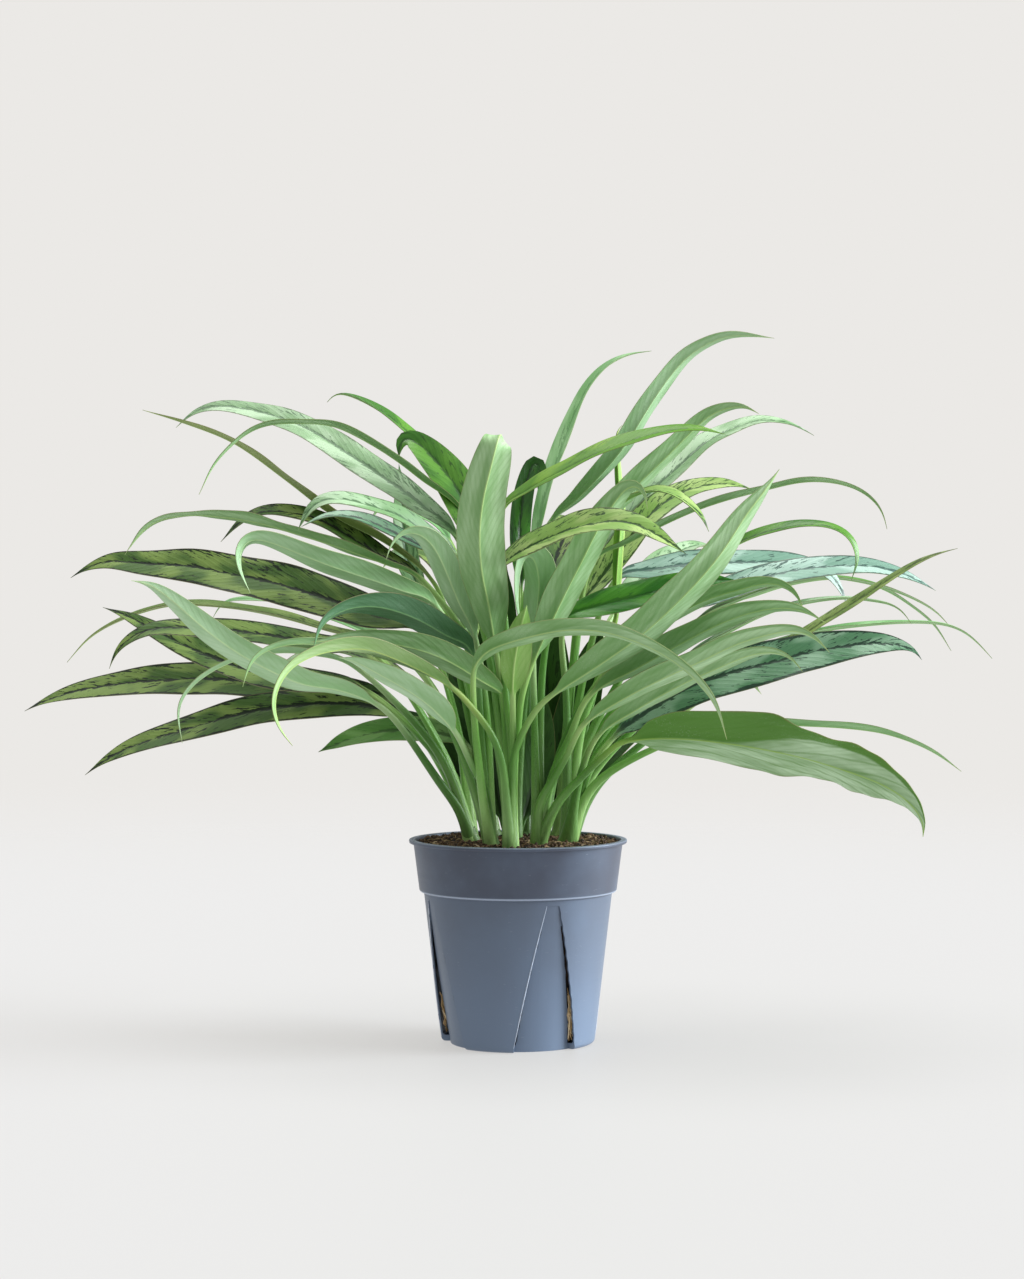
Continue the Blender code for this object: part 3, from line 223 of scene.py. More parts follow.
LEAVES = {
    # Left side, from the top down
    "left_high_silver": Leaf("left_back", "silver", 27, (0.1, -0.8, 0.6), [(-36, 32, 300)],
        [(-44, 36, 387), (-78, 60, 422), (-108, 84, 443), (-139, 105, 464), (-170, 122, 482),
         (-201, 134, 492), (-232, 142, 497), (-253, 145, 492), (-267, 142, 480)],
        fold=7),
    "left_high_olive": Leaf("left_back", "brown", 24, (-0.35, 0.2, 0.9), [(-44, 34, 280)],
        [(-61, 44, 352), (-97, 58, 387), (-144, 70, 412), (-180, 78, 439), (-221, 84, 468),
         (-261, 86, 484), (-293, 82, 494)]),
    "left_high_arch": Leaf("centre", "soft", 18, (0.0, 0.1, 1.0), [(-16, 4, 320)],
        [(-37, 5, 407), (-76, 0, 441), (-97, -5, 457), (-120, -10, 471), (-144, -15, 482), (-168, -20, 484),
         (-193, -22, 483), (-213, -25, 475), (-236, -28, 453), (-249, -30, 428)]),
    "left_bright": Leaf("back", "fresh", 24, (0.5, -0.3, 0.8), [(-12, 46, 300)],
        [(-37, 40, 399), (-57, 50, 438), (-76, 60, 465), (-96, 68, 485), (-114, 74, 497), (-131, 79, 505),
         (-143, 82, 507), (-149, 83, 500)]),
    "left_dark_curl": Leaf("centre", "fresh", 33, (-0.1, -0.75, 0.65), [(-10, 4, 290)],
        [(-26, -4, 376), (-37, 5, 411), (-51, 15, 438), (-65, 22, 455), (-78, 28, 468), (-87, 30, 473),
         (-92, 29, 469), (-93, 26, 456)]),
    "left_silver_arch": Leaf("centre", "silver", 22, (0.1, -0.6, 0.8), [(-22, -2, 300)],
        [(-47, -10, 379), (-69, -20, 396), (-92, -28, 411), (-115, -34, 419), (-135, -38, 424),
         (-150, -40, 424), (-162, -42, 417), (-172, -43, 400)]),
    "left_dark_thin": Leaf("left_back", "deep", 20, (0.0, -0.4, 0.9), [(-38, 26, 300)],
        [(-53, 16, 372), (-76, 22, 387), (-97, 28, 398), (-120, 33, 408), (-139, 36, 412), (-154, 37, 410),
         (-169, 38, 403)]),
    "left_wavy": Leaf("centre", "olive", 17, (0.1, 0.45, 0.9), [(-28, 4, 290)],
        [(-73, 8, 360), (-100, 4, 373), (-135, 0, 386), (-170, -3, 397), (-201, -6, 406), (-232, -8, 411),
         (-256, -10, 412), (-277, -10, 409), (-291, -10, 402), (-300, -10, 391), (-307, -10, 381)],
        wave=1.2),
    "left_dark_olive": Leaf("left_back", "olive", 24, (0.0, -0.5, 0.87), [(-42, 30, 290)],
        [(-73, 42, 358), (-108, 55, 380), (-135, 64, 397), (-158, 70, 409), (-182, 72, 414), (-201, 72, 414),
         (-217, 72, 406), (-232, 70, 391)]),
    "left_pale_hook": Leaf("left_front", "pale", 26, (0.3, 0.75, 0.6), [(-34, -34, 262)],
        [(-61, -32, 338), (-92, -50, 354), (-123, -64, 365), (-147, -75, 373), (-170, -84, 382),
         (-190, -91, 390), (-207, -95, 394), (-217, -98, 385), (-216, -100, 368), (-209, -101, 351)],
        twist=-30),
    "left_big": Leaf("left", "olive", 37, (0.05, -0.88, 0.45), [(-48, -4, 250)],
        [(-73, 2, 319), (-115, 14, 335), (-147, 24, 346), (-186, 36, 358), (-225, 46, 366), (-256, 53, 372),
         (-291, 58, 374), (-318, 62, 376), (-338, 64, 370), (-349, 65, 363)],
        fold=7),
    "left_pale_straight": Leaf("left", "pale", 27, (0.3, 0.85, 0.4), [(-46, -22, 182), (-61, -32, 203),
        (-76, -40, 225), (-91, -48, 246)],
        [(-109, -55, 264), (-139, -75, 276), (-170, -90, 281), (-205, -105, 297), (-225, -112, 309),
         (-244, -120, 323), (-260, -126, 337), (-273, -130, 348), (-287, -134, 358), (-302, -138, 361)],
        twist=30),
    "left_olive_arch": Leaf("left", "brown", 20, (0.0, -0.2, 0.98), [(-46, 0, 240)],
        [(-92, 26, 305), (-147, 42, 322), (-186, 52, 333), (-225, 60, 340), (-264, 64, 342), (-287, 66, 338),
         (-310, 68, 330), (-326, 69, 322), (-338, 70, 313), (-352, 70, 297)]),
    "left_dark_point": Leaf("left", "olive", 26, (0.0, -0.8, 0.6), [(-56, -16, 214)],
        [(-115, -5, 273), (-162, -3, 282), (-201, 0, 288), (-236, 5, 300), (-264, 8, 312), (-287, 10, 324),
         (-307, 12, 334), (-324, 14, 340)],
        fold=7),
    "left_small_arch": Leaf("left", "olive", 22, (0.1, -0.75, 0.65), [(-58, -22, 226)],
        [(-108, -24, 301), (-154, -28, 311), (-193, -30, 318), (-225, -32, 322), (-256, -33, 324),
         (-279, -33, 324), (-295, -33, 320), (-309, -33, 311), (-316, -33, 301), (-319, -33, 292)],
        fold=7),
    "left_far_low": Leaf("left_back", "mint", 18, (0.2, -0.4, 0.9), [(-46, 42, 240)],
        [(-84, 74, 300), (-131, 98, 326), (-180, 112, 343), (-217, 118, 346), (-231, 119, 343),
         (-238, 119, 332)]),
    "left_far_high": Leaf("back", "mint", 18, (0.2, -0.3, 0.9), [(-20, 56, 300)],
        [(-53, 92, 391), (-76, 112, 411), (-104, 130, 417), (-112, 134, 414), (-115, 135, 406)]),
    "left_upright": Leaf("left_back", "silver", 20, (0.1, -0.9, 0.2), [(-44, 46, 260)],
        [(-72, 76, 340), (-86, 90, 375), (-89, 98, 400), (-91, 104, 430), (-93, 108, 452)]),
    "left_low_big": Leaf("left_back", "olive", 34, (0.0, -0.8, 0.6), [(-50, 24, 208)],
        [(-96, 24, 266), (-147, 38, 276), (-193, 46, 281), (-237, 52, 284), (-278, 56, 283), (-318, 60, 279),
         (-346, 62, 274), (-369, 63, 267), (-385, 63, 259)],
        fold=7),
    "left_lowest": Leaf("left", "olive", 30, (0.2, -0.75, 0.63), [(-54, -12, 204)],
        [(-84, -8, 250), (-111, -6, 262), (-147, -2, 265), (-186, 4, 262), (-219, 8, 256), (-258, 12, 245),
         (-297, 15, 233), (-322, 16, 221), (-338, 16, 209)],
        fold=7),
    "left_thin_hook": Leaf("left", "pale", 16, (-0.3, 0.15, 0.95), [(-62, -30, 226)],
        [(-123, -48, 291), (-162, -58, 304), (-193, -66, 305), (-221, -74, 299), (-243, -79, 288),
         (-256, -82, 277), (-264, -84, 265), (-265, -85, 251), (-262, -85, 234)]),
    "left_mint_arch": Leaf("left_front", "mint", 18, (0.1, 0.5, 0.85), [(-44, -52, 226)],
        [(-76, -66, 291), (-108, -84, 304), (-135, -100, 309), (-161, -114, 312), (-182, -124, 311),
         (-203, -130, 303), (-211, -132, 291), (-215, -132, 278)]),
    "left_front_drop": Leaf("front", "straw", 26, (0.3, 0.6, 0.75),
        [(-10, -74, 196), (-12, -84, 216), (-18, -88, 236), (-28, -90, 252)],
        [(-48, -94, 275), (-67, -108, 287), (-92, -126, 299), (-118, -142, 308), (-143, -156, 307),
         (-164, -168, 301), (-179, -177, 291), (-188, -183, 276), (-190, -186, 260), (-185, -187, 244),
         (-176, -187, 232)],
        twist=30),
    "left_front_grey": Leaf("left_front", "pale", 32, (0.35, 0.6, 0.7), [(-26, -60, 196), (-37, -76, 219)],
        [(-49, -86, 243), (-69, -100, 264), (-88, -112, 277), (-108, -122, 288), (-127, -128, 298),
         (-140, -130, 301)]),
    "left_low_green": Leaf("left_back", "plain", 27, (0.05, -0.7, 0.7), [(-34, 28, 204)],
        [(-38, 26, 232), (-61, 24, 241), (-90, 20, 244), (-115, 16, 241), (-135, 13, 236), (-156, 10, 227)]),
    # Leaves that come towards the front
    "front_big_upright": Leaf("front", "plain", 40, (0.05, 0.85, 0.5), [(-8, -66, 200), (-11, -64, 262)],
        [(-17, -66, 305), (-23, -88, 343), (-28, -107, 367), (-30, -126, 396), (-27, -142, 425),
         (-21, -154, 450), (-17, -160, 466), (-14, -153, 476), (-12, -141, 471), (-10, -131, 457),
         (-9, -124, 440)],
        fold=24),
    "front_white_tip": Leaf("left_front", "pale", 24, (0.1, 0.7, 0.7), [(-24, -48, 250)],
        [(-33, -50, 315), (-46, -68, 344), (-55, -84, 366), (-64, -99, 385), (-74, -111, 396),
         (-86, -120, 399), (-96, -126, 393), (-101, -129, 385), (-103, -130, 377)]),
    "front_blue_green": Leaf("left_front", "blue", 30, (0.15, 0.75, 0.62), [(-28, -50, 228)],
        [(-34, -54, 302), (-57, -74, 319), (-80, -92, 332), (-104, -107, 340), (-123, -118, 341),
         (-139, -126, 337), (-151, -132, 329), (-157, -135, 317), (-160, -136, 307)]),
    "front_left_plain": Leaf("front", "soft", 28, (0.2, 0.75, 0.6), [(-4, -62, 222), (-4, -60, 250)],
        [(-8, -62, 270), (-30, -74, 284), (-53, -87, 298), (-76, -98, 307), (-100, -106, 312),
         (-127, -113, 315), (-162, -120, 313)]),
    "front_long_arch": Leaf("left_front", "soft", 22, (0.0, 0.6, 0.8), [(-27, -60, 188), (-31, -76, 220),
        (-34, -84, 251)],
        [(-35, -92, 288), (-31, -104, 299), (-21, -120, 308), (-1, -140, 315), (19, -155, 320),
         (39, -166, 323), (64, -177, 322), (89, -187, 315), (111, -194, 305), (130, -199, 292),
         (145, -202, 277), (155, -204, 262), (163, -206, 237)]),
    "front_young": Leaf("front", "young", 24, (0.1, 0.95, 0.2), [(-4, -68, 210), (-4, -73, 244)],
        [(-4, -80, 272), (-3, -90, 294), (0, -97, 312), (3, -100, 328), (7, -99, 342)]),
    "front_folded": Leaf("right_front", "pale", 30, (0.2, 0.5, 0.85), [(13, -48, 240)],
        [(12, -54, 306), (15, -64, 336), (17, -74, 358), (14, -82, 376), (8, -87, 383), (3, -89, 376),
         (0, -90, 358), (0, -91, 340), (3, -92, 322)]),
    "front_lime_rib": Leaf("front", "plain", 31, (-0.3, 0.8, 0.5),
        [(-3, -64, 218), (0, -64, 246), (3, -64, 271)],
        [(12, -66, 299), (24, -78, 325), (37, -90, 352), (50, -102, 377), (62, -113, 401), (75, -122, 422),
         (88, -128, 436), (98, -132, 431), (101, -133, 417)]),
    "front_right_rising": Leaf("front", "soft", 36, (-0.3, 0.75, 0.6), [(-4, -70, 218), (1, -74, 236),
        (10, -78, 254)],
        [(24, -82, 270), (64, -102, 296), (99, -122, 321), (134, -140, 354), (158, -150, 382),
         (177, -157, 411), (193, -161, 432), (204, -164, 448)]),
    "front_olive": Leaf("front", "young", 31, (0.1, -0.75, 0.65), [(-6, -66, 240)],
        [(-20, -62, 356), (-8, -85, 376), (13, -106, 389), (36, -124, 399), (56, -138, 405), (76, -146, 407),
         (94, -151, 404), (111, -155, 395), (131, -158, 382)]),
    # Middle and top
    "top_dark_curl": Leaf("back", "glossy", 18, (0.2, -0.85, 0.4), [(3, 50, 280)],
        [(2, 58, 356), (1, 67, 391), (3, 76, 422), (8, 83, 444), (13, 87, 455), (17, 86, 451), (18, 81, 437),
         (16, 77, 421)]),
    "top_lime": Leaf("centre", "lime", 25, (-0.15, -0.45, 0.87), [(-8, -8, 300)],
        [(-16, -20, 405), (9, -30, 432), (36, -38, 447), (64, -44, 461), (95, -50, 472), (120, -54, 478),
         (142, -57, 479), (162, -59, 475)]),
    "top_mint": Leaf("back", "mint", 24, (-0.7, -0.35, 0.6), [(8, 46, 300)],
        [(12, 52, 376), (17, 62, 407), (23, 71, 433), (33, 83, 461), (44, 94, 490), (55, 102, 512),
         (69, 108, 528), (86, 112, 537), (104, 115, 540)]),
    "top_tallest": Leaf("centre", "pale", 22, (-0.55, 0.7, 0.45), [(2, 8, 320)],
        [(21, 15, 399), (45, 5, 424), (66, -5, 446), (84, -14, 468), (97, -22, 489), (112, -30, 512),
         (129, -37, 533), (146, -43, 545), (164, -48, 552), (183, -52, 552), (200, -55, 550)]),
    "top_two_tone": Leaf("centre", "plain", 27, (-0.5, 0.65, 0.55), [(8, 0, 290)],
        [(33, -5, 364), (52, -10, 391), (72, -14, 415), (95, -18, 438), (115, -22, 457), (133, -25, 475),
         (148, -28, 489), (164, -30, 496), (177, -32, 497), (188, -34, 491)]),
    "top_silver_back": Leaf("right_back", "silver", 25, (-0.3, -0.6, 0.75), [(42, 28, 280)],
        [(56, 32, 368), (80, 48, 403), (103, 62, 429), (126, 76, 450), (146, 87, 468), (165, 96, 478),
         (185, 103, 485), (203, 108, 485), (218, 112, 481), (231, 114, 474)]),
    "top_lime_roll": Leaf("right_back", "lime", 15, (-0.9, -0.3, 0.1), [(56, 18, 262)],
        [(76, 10, 330), (79, 8, 356), (81, 6, 383), (83, 6, 414), (80, 8, 446), (78, 10, 469), (76, 12, 478),
         (81, 12, 482)],
        fold=45),
    "right_olive_back": Leaf("right_back", "young", 27, (-0.2, -0.75, 0.6), [(40, 22, 260)],
        [(47, 16, 335), (64, 24, 361), (81, 30, 385), (98, 36, 407), (115, 42, 422), (134, 48, 432),
         (154, 53, 436), (169, 56, 436), (183, 58, 432)]),
    "right_small_arch": Leaf("right_front", "young", 22, (0.1, -0.3, 0.95), [(20, -44, 300)],
        [(45, -44, 376), (66, -60, 407), (86, -72, 425), (103, -82, 431), (120, -90, 429), (134, -95, 420),
         (144, -98, 410), (149, -99, 399)]),
    "right_long_thin": Leaf("right_back", "plain", 17, (0.0, 0.2, 0.98), [(42, 14, 290)],
        [(56, -6, 372), (84, -15, 390), (111, -21, 404), (138, -26, 416), (165, -30, 425), (193, -34, 432),
         (220, -37, 438), (243, -38, 438), (263, -40, 433), (277, -41, 424), (285, -42, 413),
         (288, -43, 401)]),
    "right_hook": Leaf("right", "fresh", 20, (0.05, -0.35, 0.93), [(54, -18, 262)],
        [(103, -36, 340), (138, -46, 369), (172, -54, 390), (197, -60, 399), (220, -64, 404),
         (242, -68, 403), (257, -70, 396), (264, -72, 384), (264, -73, 373), (260, -73, 361)]),
    "right_silver_wide": Leaf("right_back", "striped", 25, (0.0, -0.8, 0.6), [(50, 14, 280)],
        [(73, 14, 358), (103, 20, 369), (134, 26, 374), (169, 30, 375), (204, 36, 375), (225, 40, 373),
         (241, 42, 368), (250, 43, 357), (258, 44, 340)],
        fold=7),
    "right_striped": Leaf("right_back", "striped", 24, (0.0, -0.75, 0.65), [(56, 14, 240)],
        [(111, 2, 330), (146, 8, 347), (181, 14, 360), (216, 20, 369), (247, 25, 372), (275, 29, 372),
         (298, 32, 367), (314, 34, 360), (326, 35, 353)],
        fold=7),
    "right_arch_green": Leaf("right_back", "plain", 18, (0.0, -0.1, 1.0), [(60, 30, 240)],
        [(134, 34, 325), (173, 42, 346), (208, 49, 358), (240, 54, 363), (267, 58, 360), (293, 61, 353),
         (314, 64, 344), (328, 66, 335), (337, 67, 325)]),
    "right_arch_thin": Leaf("right_back", "mint", 16, (0.0, -0.1, 1.0), [(66, 40, 240)],
        [(142, 62, 329), (189, 74, 351), (228, 82, 361), (259, 87, 362), (286, 90, 354), (307, 93, 341),
         (325, 95, 326), (338, 96, 306)]),
    "right_diagonal": Leaf("right", "brown", 14, (-0.3, -0.5, 0.8), [(66, -12, 206)],
        [(134, -5, 262), (173, -10, 288), (208, -14, 309), (239, -17, 329), (265, -20, 345), (289, -22, 361),
         (310, -24, 374), (328, -25, 382), (343, -26, 386)]),
    "right_far_thin": Leaf("right_back", "mint", 16, (0.0, -0.1, 1.0), [(66, 20, 220)],
        [(134, 12, 282), (173, 16, 301), (208, 19, 314), (239, 22, 322), (271, 25, 326), (302, 28, 328),
         (329, 30, 327), (346, 32, 322), (359, 33, 312), (370, 34, 300)]),
    "right_short_arch": Leaf("right_back", "silver", 16, (0.0, -0.1, 1.0), [(62, 18, 226)],
        [(126, 4, 297), (161, 6, 319), (196, 8, 336), (228, 10, 344), (255, 12, 347), (276, 13, 345),
         (292, 14, 342), (301, 15, 336), (307, 15, 327)]),
    "right_plain_hook": Leaf("right_front", "plain", 22, (-0.1, 0.6, 0.8), [(38, -48, 240)],
        [(84, -56, 309), (115, -68, 330), (146, -80, 346), (172, -88, 354), (193, -94, 359),
         (208, -98, 357), (218, -100, 349), (223, -101, 338)]),
    "right_plain_wide": Leaf("right_front", "soft", 29, (-0.15, 0.65, 0.75), [(26, -52, 206), (40, -56, 238)],
        [(56, -60, 272), (91, -77, 292), (125, -94, 311), (154, -108, 326), (181, -119, 336),
         (206, -128, 340), (224, -133, 337), (240, -136, 328)]),
    "right_plain_long": Leaf("right_front", "soft", 27, (-0.1, 0.6, 0.8), [(16, -52, 184), (27, -60, 205),
        (39, -70, 226)],
        [(51, -80, 249), (80, -98, 268), (111, -115, 284), (142, -130, 298), (169, -141, 311),
         (195, -150, 319), (217, -156, 322), (232, -160, 316), (243, -162, 305)]),
    "right_plain_low": Leaf("right", "soft", 24, (-0.1, 0.55, 0.82), [(48, -40, 206)],
        [(62, -56, 240), (91, -76, 260), (125, -94, 279), (156, -108, 293), (181, -119, 303),
         (201, -127, 305), (215, -132, 299), (222, -134, 290)]),
    "right_dark_glossy": Leaf("right", "vivid", 27, (0.0, -0.8, 0.6), [(38, -24, 262)],
        [(35, -26, 327), (60, -29, 340), (87, -31, 347), (115, -33, 354), (142, -34, 360), (172, -35, 361)]),
    "right_big_dark": Leaf("right", "deep", 38, (-0.05, -0.88, 0.45), [(52, -20, 204)],
        [(73, -22, 237), (103, -28, 260), (134, -33, 278), (165, -38, 289), (197, -43, 297), (229, -48, 305),
         (259, -52, 310), (284, -55, 312), (302, -57, 310), (312, -58, 305), (315, -58, 299)],
        fold=7),
    "right_wavy_front": Leaf("right_front", "wavy", 55, (0.15, 0.8, 0.6), [(30, -56, 186), (50, -62, 208),
        (68, -68, 225)],
        [(84, -74, 236), (125, -90, 238), (172, -106, 233), (218, -122, 224), (252, -133, 214),
         (282, -142, 203), (302, -148, 191), (312, -151, 180), (317, -153, 171), (316, -154, 161)],
        wave=3.0),
    "right_low_thin": Leaf("right", "mint", 18, (0.0, 0.3, 0.95), [(64, -26, 206)],
        [(142, -40, 244), (189, -50, 249), (229, -58, 248), (259, -64, 246), (286, -69, 242),
         (310, -73, 234), (328, -76, 225), (346, -79, 212)]),
    # Leaves deep among the stalks, coloured dark as painted shade
    "inner_back_right": Leaf("back", "inner", 44, (-0.1, -1.0, 0.1), [(9, 50, 168)],
        [(14, 54, 180), (20, 60, 206), (23, 63, 240), (22, 64, 290), (18, 63, 335), (14, 60, 378)]),
    "inner_back_left": Leaf("back", "inner", 44, (0.1, -1.0, 0.1), [(-2, 50, 168)],
        [(-7, 54, 180), (-12, 60, 206), (-16, 63, 240), (-17, 64, 290), (-14, 63, 335), (-9, 60, 376)]),
    "inner_centre_right": Leaf("centre", "inner", 28, (0.15, -1.0, 0.1), [(0, 5, 166)],
        [(4, 7, 174), (10, 10, 194), (15, 12, 220), (18, 13, 248), (19, 12, 276)]),
    "inner_centre_left": Leaf("centre", "inner", 26, (-0.15, -1.0, 0.1), [(-8, 4, 166)],
        [(-12, 6, 174), (-16, 9, 194), (-20, 11, 220), (-22, 11, 248), (-21, 10, 276)]),
    "inner_right_high": Leaf("right_back", "inner", 38, (-0.1, -1.0, 0.1), [(32, 30, 168)],
        [(34, 33, 178), (37, 36, 204), (42, 38, 236), (49, 40, 268), (58, 41, 300), (66, 42, 328)]),
    "inner_right_low": Leaf("right_back", "inner", 26, (-0.2, -0.8, 0.6), [(37, 33, 172)],
        [(49, 42, 194), (64, 50, 218), (82, 57, 238), (102, 62, 250), (120, 66, 256)]),
    "inner_left_high": Leaf("left_back", "inner", 36, (0.1, -1.0, 0.1), [(-22, 30, 168)],
        [(-23, 33, 178), (-26, 36, 204), (-32, 39, 236), (-42, 41, 268), (-54, 42, 298)]),
    "inner_left_low": Leaf("left_back", "inner", 28, (0.2, -0.8, 0.6), [(-28, 31, 176)],
        [(-42, 40, 204), (-60, 48, 230), (-78, 53, 248), (-98, 57, 260)]),
    # Leaves at the back, hidden from the front
    "back_left_low": Leaf("left_back", "olive", 28, (0.4, -0.6, 0.7), [(-50, 62, 220)],
        [(-76, 100, 268), (-112, 150, 296), (-146, 196, 306), (-172, 238, 300), (-190, 270, 286)]),
    "back_left_high": Leaf("back", "olive", 28, (0.2, -0.7, 0.7), [(-18, 84, 270)],
        [(-34, 112, 330), (-54, 152, 366), (-74, 192, 384), (-92, 228, 384), (-106, 256, 370)]),
    "back_middle_low": Leaf("back", "silver", 30, (0.1, -0.5, 0.85), [(2, 92, 220)],
        [(4, 128, 258), (8, 180, 282), (10, 228, 286), (8, 270, 274), (4, 300, 252)]),
    "back_middle_high": Leaf("back", "olive", 28, (0.0, -0.6, 0.8), [(12, 74, 290)],
        [(22, 96, 352), (34, 132, 390), (42, 170, 408), (44, 206, 404), (40, 236, 384)]),
    "back_right_low": Leaf("right_back", "olive", 30, (-0.4, -0.6, 0.7), [(58, 62, 214)],
        [(82, 98, 254), (114, 146, 284), (146, 190, 296), (172, 230, 290), (190, 262, 272)]),
    "back_right_high": Leaf("right_back", "silver", 28, (-0.3, -0.6, 0.75), [(52, 56, 280)],
        [(74, 86, 334), (104, 126, 368), (132, 164, 386), (154, 198, 386), (170, 224, 372)]),
}

# How a leaf is coloured, as 8-bit screen values: the ground of its upper face, the soft patches on that, the
# dark marks, the underside, its deeper shade and the rib; how many marks it has, how rough it is above, how
# much painted shade darkens the upper half of its underside, how strong its long side veins are, and how much
# painted shade darkens its stalk.
Look = namedtuple("Look", "ground patch mark under shade rib marks rough halves veins stalk")

OLIVE = Look(ground=(72, 104, 46), patch=(124, 150, 76), mark=(26, 40, 22), under=(178, 212, 162),
             shade=(88, 142, 58), rib=(192, 220, 142), marks=1.0, rough=0.44, halves=0.3, veins=0.05, stalk=0.0)
LOOKS = {
    "olive": OLIVE,
    "deep": OLIVE._replace(ground=(94, 146, 106), patch=(146, 186, 154), mark=(38, 68, 52), marks=1.1,
                           rough=0.30),
    "silver": OLIVE._replace(ground=(128, 168, 116), patch=(172, 202, 162), mark=(66, 104, 62), marks=0.8,
                             rough=0.34),
    "striped": OLIVE._replace(ground=(128, 168, 148), patch=(174, 204, 190), mark=(70, 100, 90), marks=1.0,
                              rough=0.30),
    "mint": OLIVE._replace(ground=(124, 176, 112), patch=(154, 198, 142), mark=(76, 120, 70), marks=0.3,
                           under=(170, 210, 156), shade=(112, 168, 94)),
    "young": OLIVE._replace(ground=(132, 170, 84), patch=(168, 194, 118), mark=(44, 74, 34), marks=0.9,
                            under=(160, 198, 116), shade=(104, 158, 56)),
    "wavy": OLIVE._replace(ground=(84, 128, 54), patch=(116, 154, 78), mark=(44, 72, 32), marks=0.6,
                           under=(200, 230, 190), shade=(86, 138, 46), rib=(164, 202, 92), halves=0.95,
                           veins=0.4),
    "fresh": OLIVE._replace(ground=(58, 114, 28), patch=(90, 146, 44), mark=(26, 62, 18), marks=0.5,
                            under=(142, 190, 98), shade=(84, 142, 42), rib=(174, 208, 104), rough=0.32),
    "glossy": OLIVE._replace(ground=(40, 94, 22), patch=(64, 124, 34), mark=(16, 46, 14), marks=0.6,
                             under=(104, 158, 72), shade=(56, 112, 32), rough=0.28),
    "vivid": OLIVE._replace(ground=(48, 124, 24), patch=(84, 158, 42), mark=(24, 74, 18), marks=0.3,
                            under=(120, 178, 84), shade=(66, 132, 38), rough=0.28),
    "lime": OLIVE._replace(ground=(94, 150, 32), patch=(130, 178, 54), mark=(56, 102, 26), marks=0.3,
                           under=(142, 190, 72), shade=(94, 148, 36), rib=(190, 214, 106), rough=0.34),
    "plain": OLIVE._replace(ground=(88, 138, 62), patch=(118, 160, 90), marks=0.3, halves=0.2),
    "soft": OLIVE._replace(ground=(98, 148, 72), patch=(126, 168, 100), marks=0.2, under=(182, 216, 168),
                           halves=0.5),
    "pale": OLIVE._replace(ground=(126, 168, 104), patch=(156, 190, 134), marks=0.2,
                           under=(190, 222, 182), shade=(130, 178, 112), rib=(204, 228, 172)),
    "blue": OLIVE._replace(under=(116, 160, 124), shade=(62, 108, 62), rib=(142, 190, 126)),
    "brown": OLIVE._replace(ground=(112, 140, 68), patch=(146, 168, 96), mark=(62, 80, 38), marks=0.6,
                            under=(156, 176, 108), shade=(112, 136, 62)),
    "straw": OLIVE._replace(under=(182, 210, 152), shade=(122, 168, 86), rib=(196, 216, 120)),
    # Leaves deep among the stalks: all their colours are dark as painted shade, and their stalks are darkened
    # by painted shade
    "inner": OLIVE._replace(ground=(44, 78, 28), patch=(58, 94, 38), mark=(22, 38, 16), marks=0.5,
                            under=(52, 86, 36), shade=(28, 52, 20), rib=(78, 114, 50), stalk=0.8),
}

# Colours as 8-bit screen values
STALK_LOW = (168, 206, 128)
STALK_HIGH = (112, 168, 74)
STALK_STREAK = (44, 90, 28)
# Painted shade for the stalks of leaves deep among the others
STALK_PAINTED_SHADE = (40, 66, 30)
MARGIN_LINE = (148, 132, 92)
LEAF_DUST = (206, 222, 204)
CANE_LOW = (120, 152, 88)
CANE_HIGH = (64, 100, 44)
CANE_STREAK = (96, 150, 70)
CANE_SCAR = (176, 170, 120)
# The pot's body goes lighter towards its foot as painted reflection of the floor, and its collar is darker as
# painted shade
BODY_HIGH_COLOUR = (89, 98, 114)
BODY_LOW_PAINTED_REFLECTION = (106, 121, 143)
COLLAR_PAINTED_SHADE_COLOUR = (65, 68, 81)
POT_SCUFF = (104, 121, 144)
POT_SCRATCH = (150, 156, 166)
# A pale tone for the painted highlight under the collar, the pale line at the rim and the slit edges' painted
# highlight
POT_EDGE = (176, 188, 208)
SLIT_EDGE_HIGHLIGHT = (206, 214, 226)
SHEEN_COLOUR = (214, 232, 255)
SOIL_DARK = (28, 21, 17)
SOIL_BROWN = (70, 52, 39)
CRUMB_TAN = (146, 120, 94)
FIBRE_DARK = (96, 70, 46)
FIBRE_LIGHT = (186, 158, 118)
ROOT_DARK = (176, 142, 94)
ROOT_LIGHT = (232, 214, 176)

# Gloss: leaves are glossy below the roughness MATT_FROM and matt from it up
GLOSSY = 0.5
MATT = 0.28
MATT_FROM = 0.36
STALK_ROUGH = 0.26
UNDER_ROUGH = 0.46
POT_SHEEN = 0.8

# Patterns on leaves and canes: how long and wide their spots are, how far they slant from the rib, and how far
# apart the layers of noise are that differ between halves, marks and patches
HALF_LAYER = 3.7
GROUP_LAYER = 50.0
PATCH_LAYER = 90.0
MARK_SLANT = math.radians(13)
MARKS = (9.0, 1.5)
MARK_GROUPS = (38.0, 9.0)
PATCHES = (42.0, 15.0)
FINE_STREAKS = (16.0, 0.7)
CLOUDS = (40.0, 7.0)
DUST = (0.9, 0.8)
VEIN_SLANT = math.radians(20)
VEIN_SPACING = 3.6
VEIN_WANDER = (30.0, 8.0)
LONG_VEIN_SLANT = math.radians(9)
LONG_VEIN_SPACING = 8.5
STALK_GRAIN = (45.0, 2.4)
CANE_GRAIN = (1.2, 18.0)
CANE_RINGS = (30.0, 1.6)
CANE_GREENING = (150.0, 176.0)

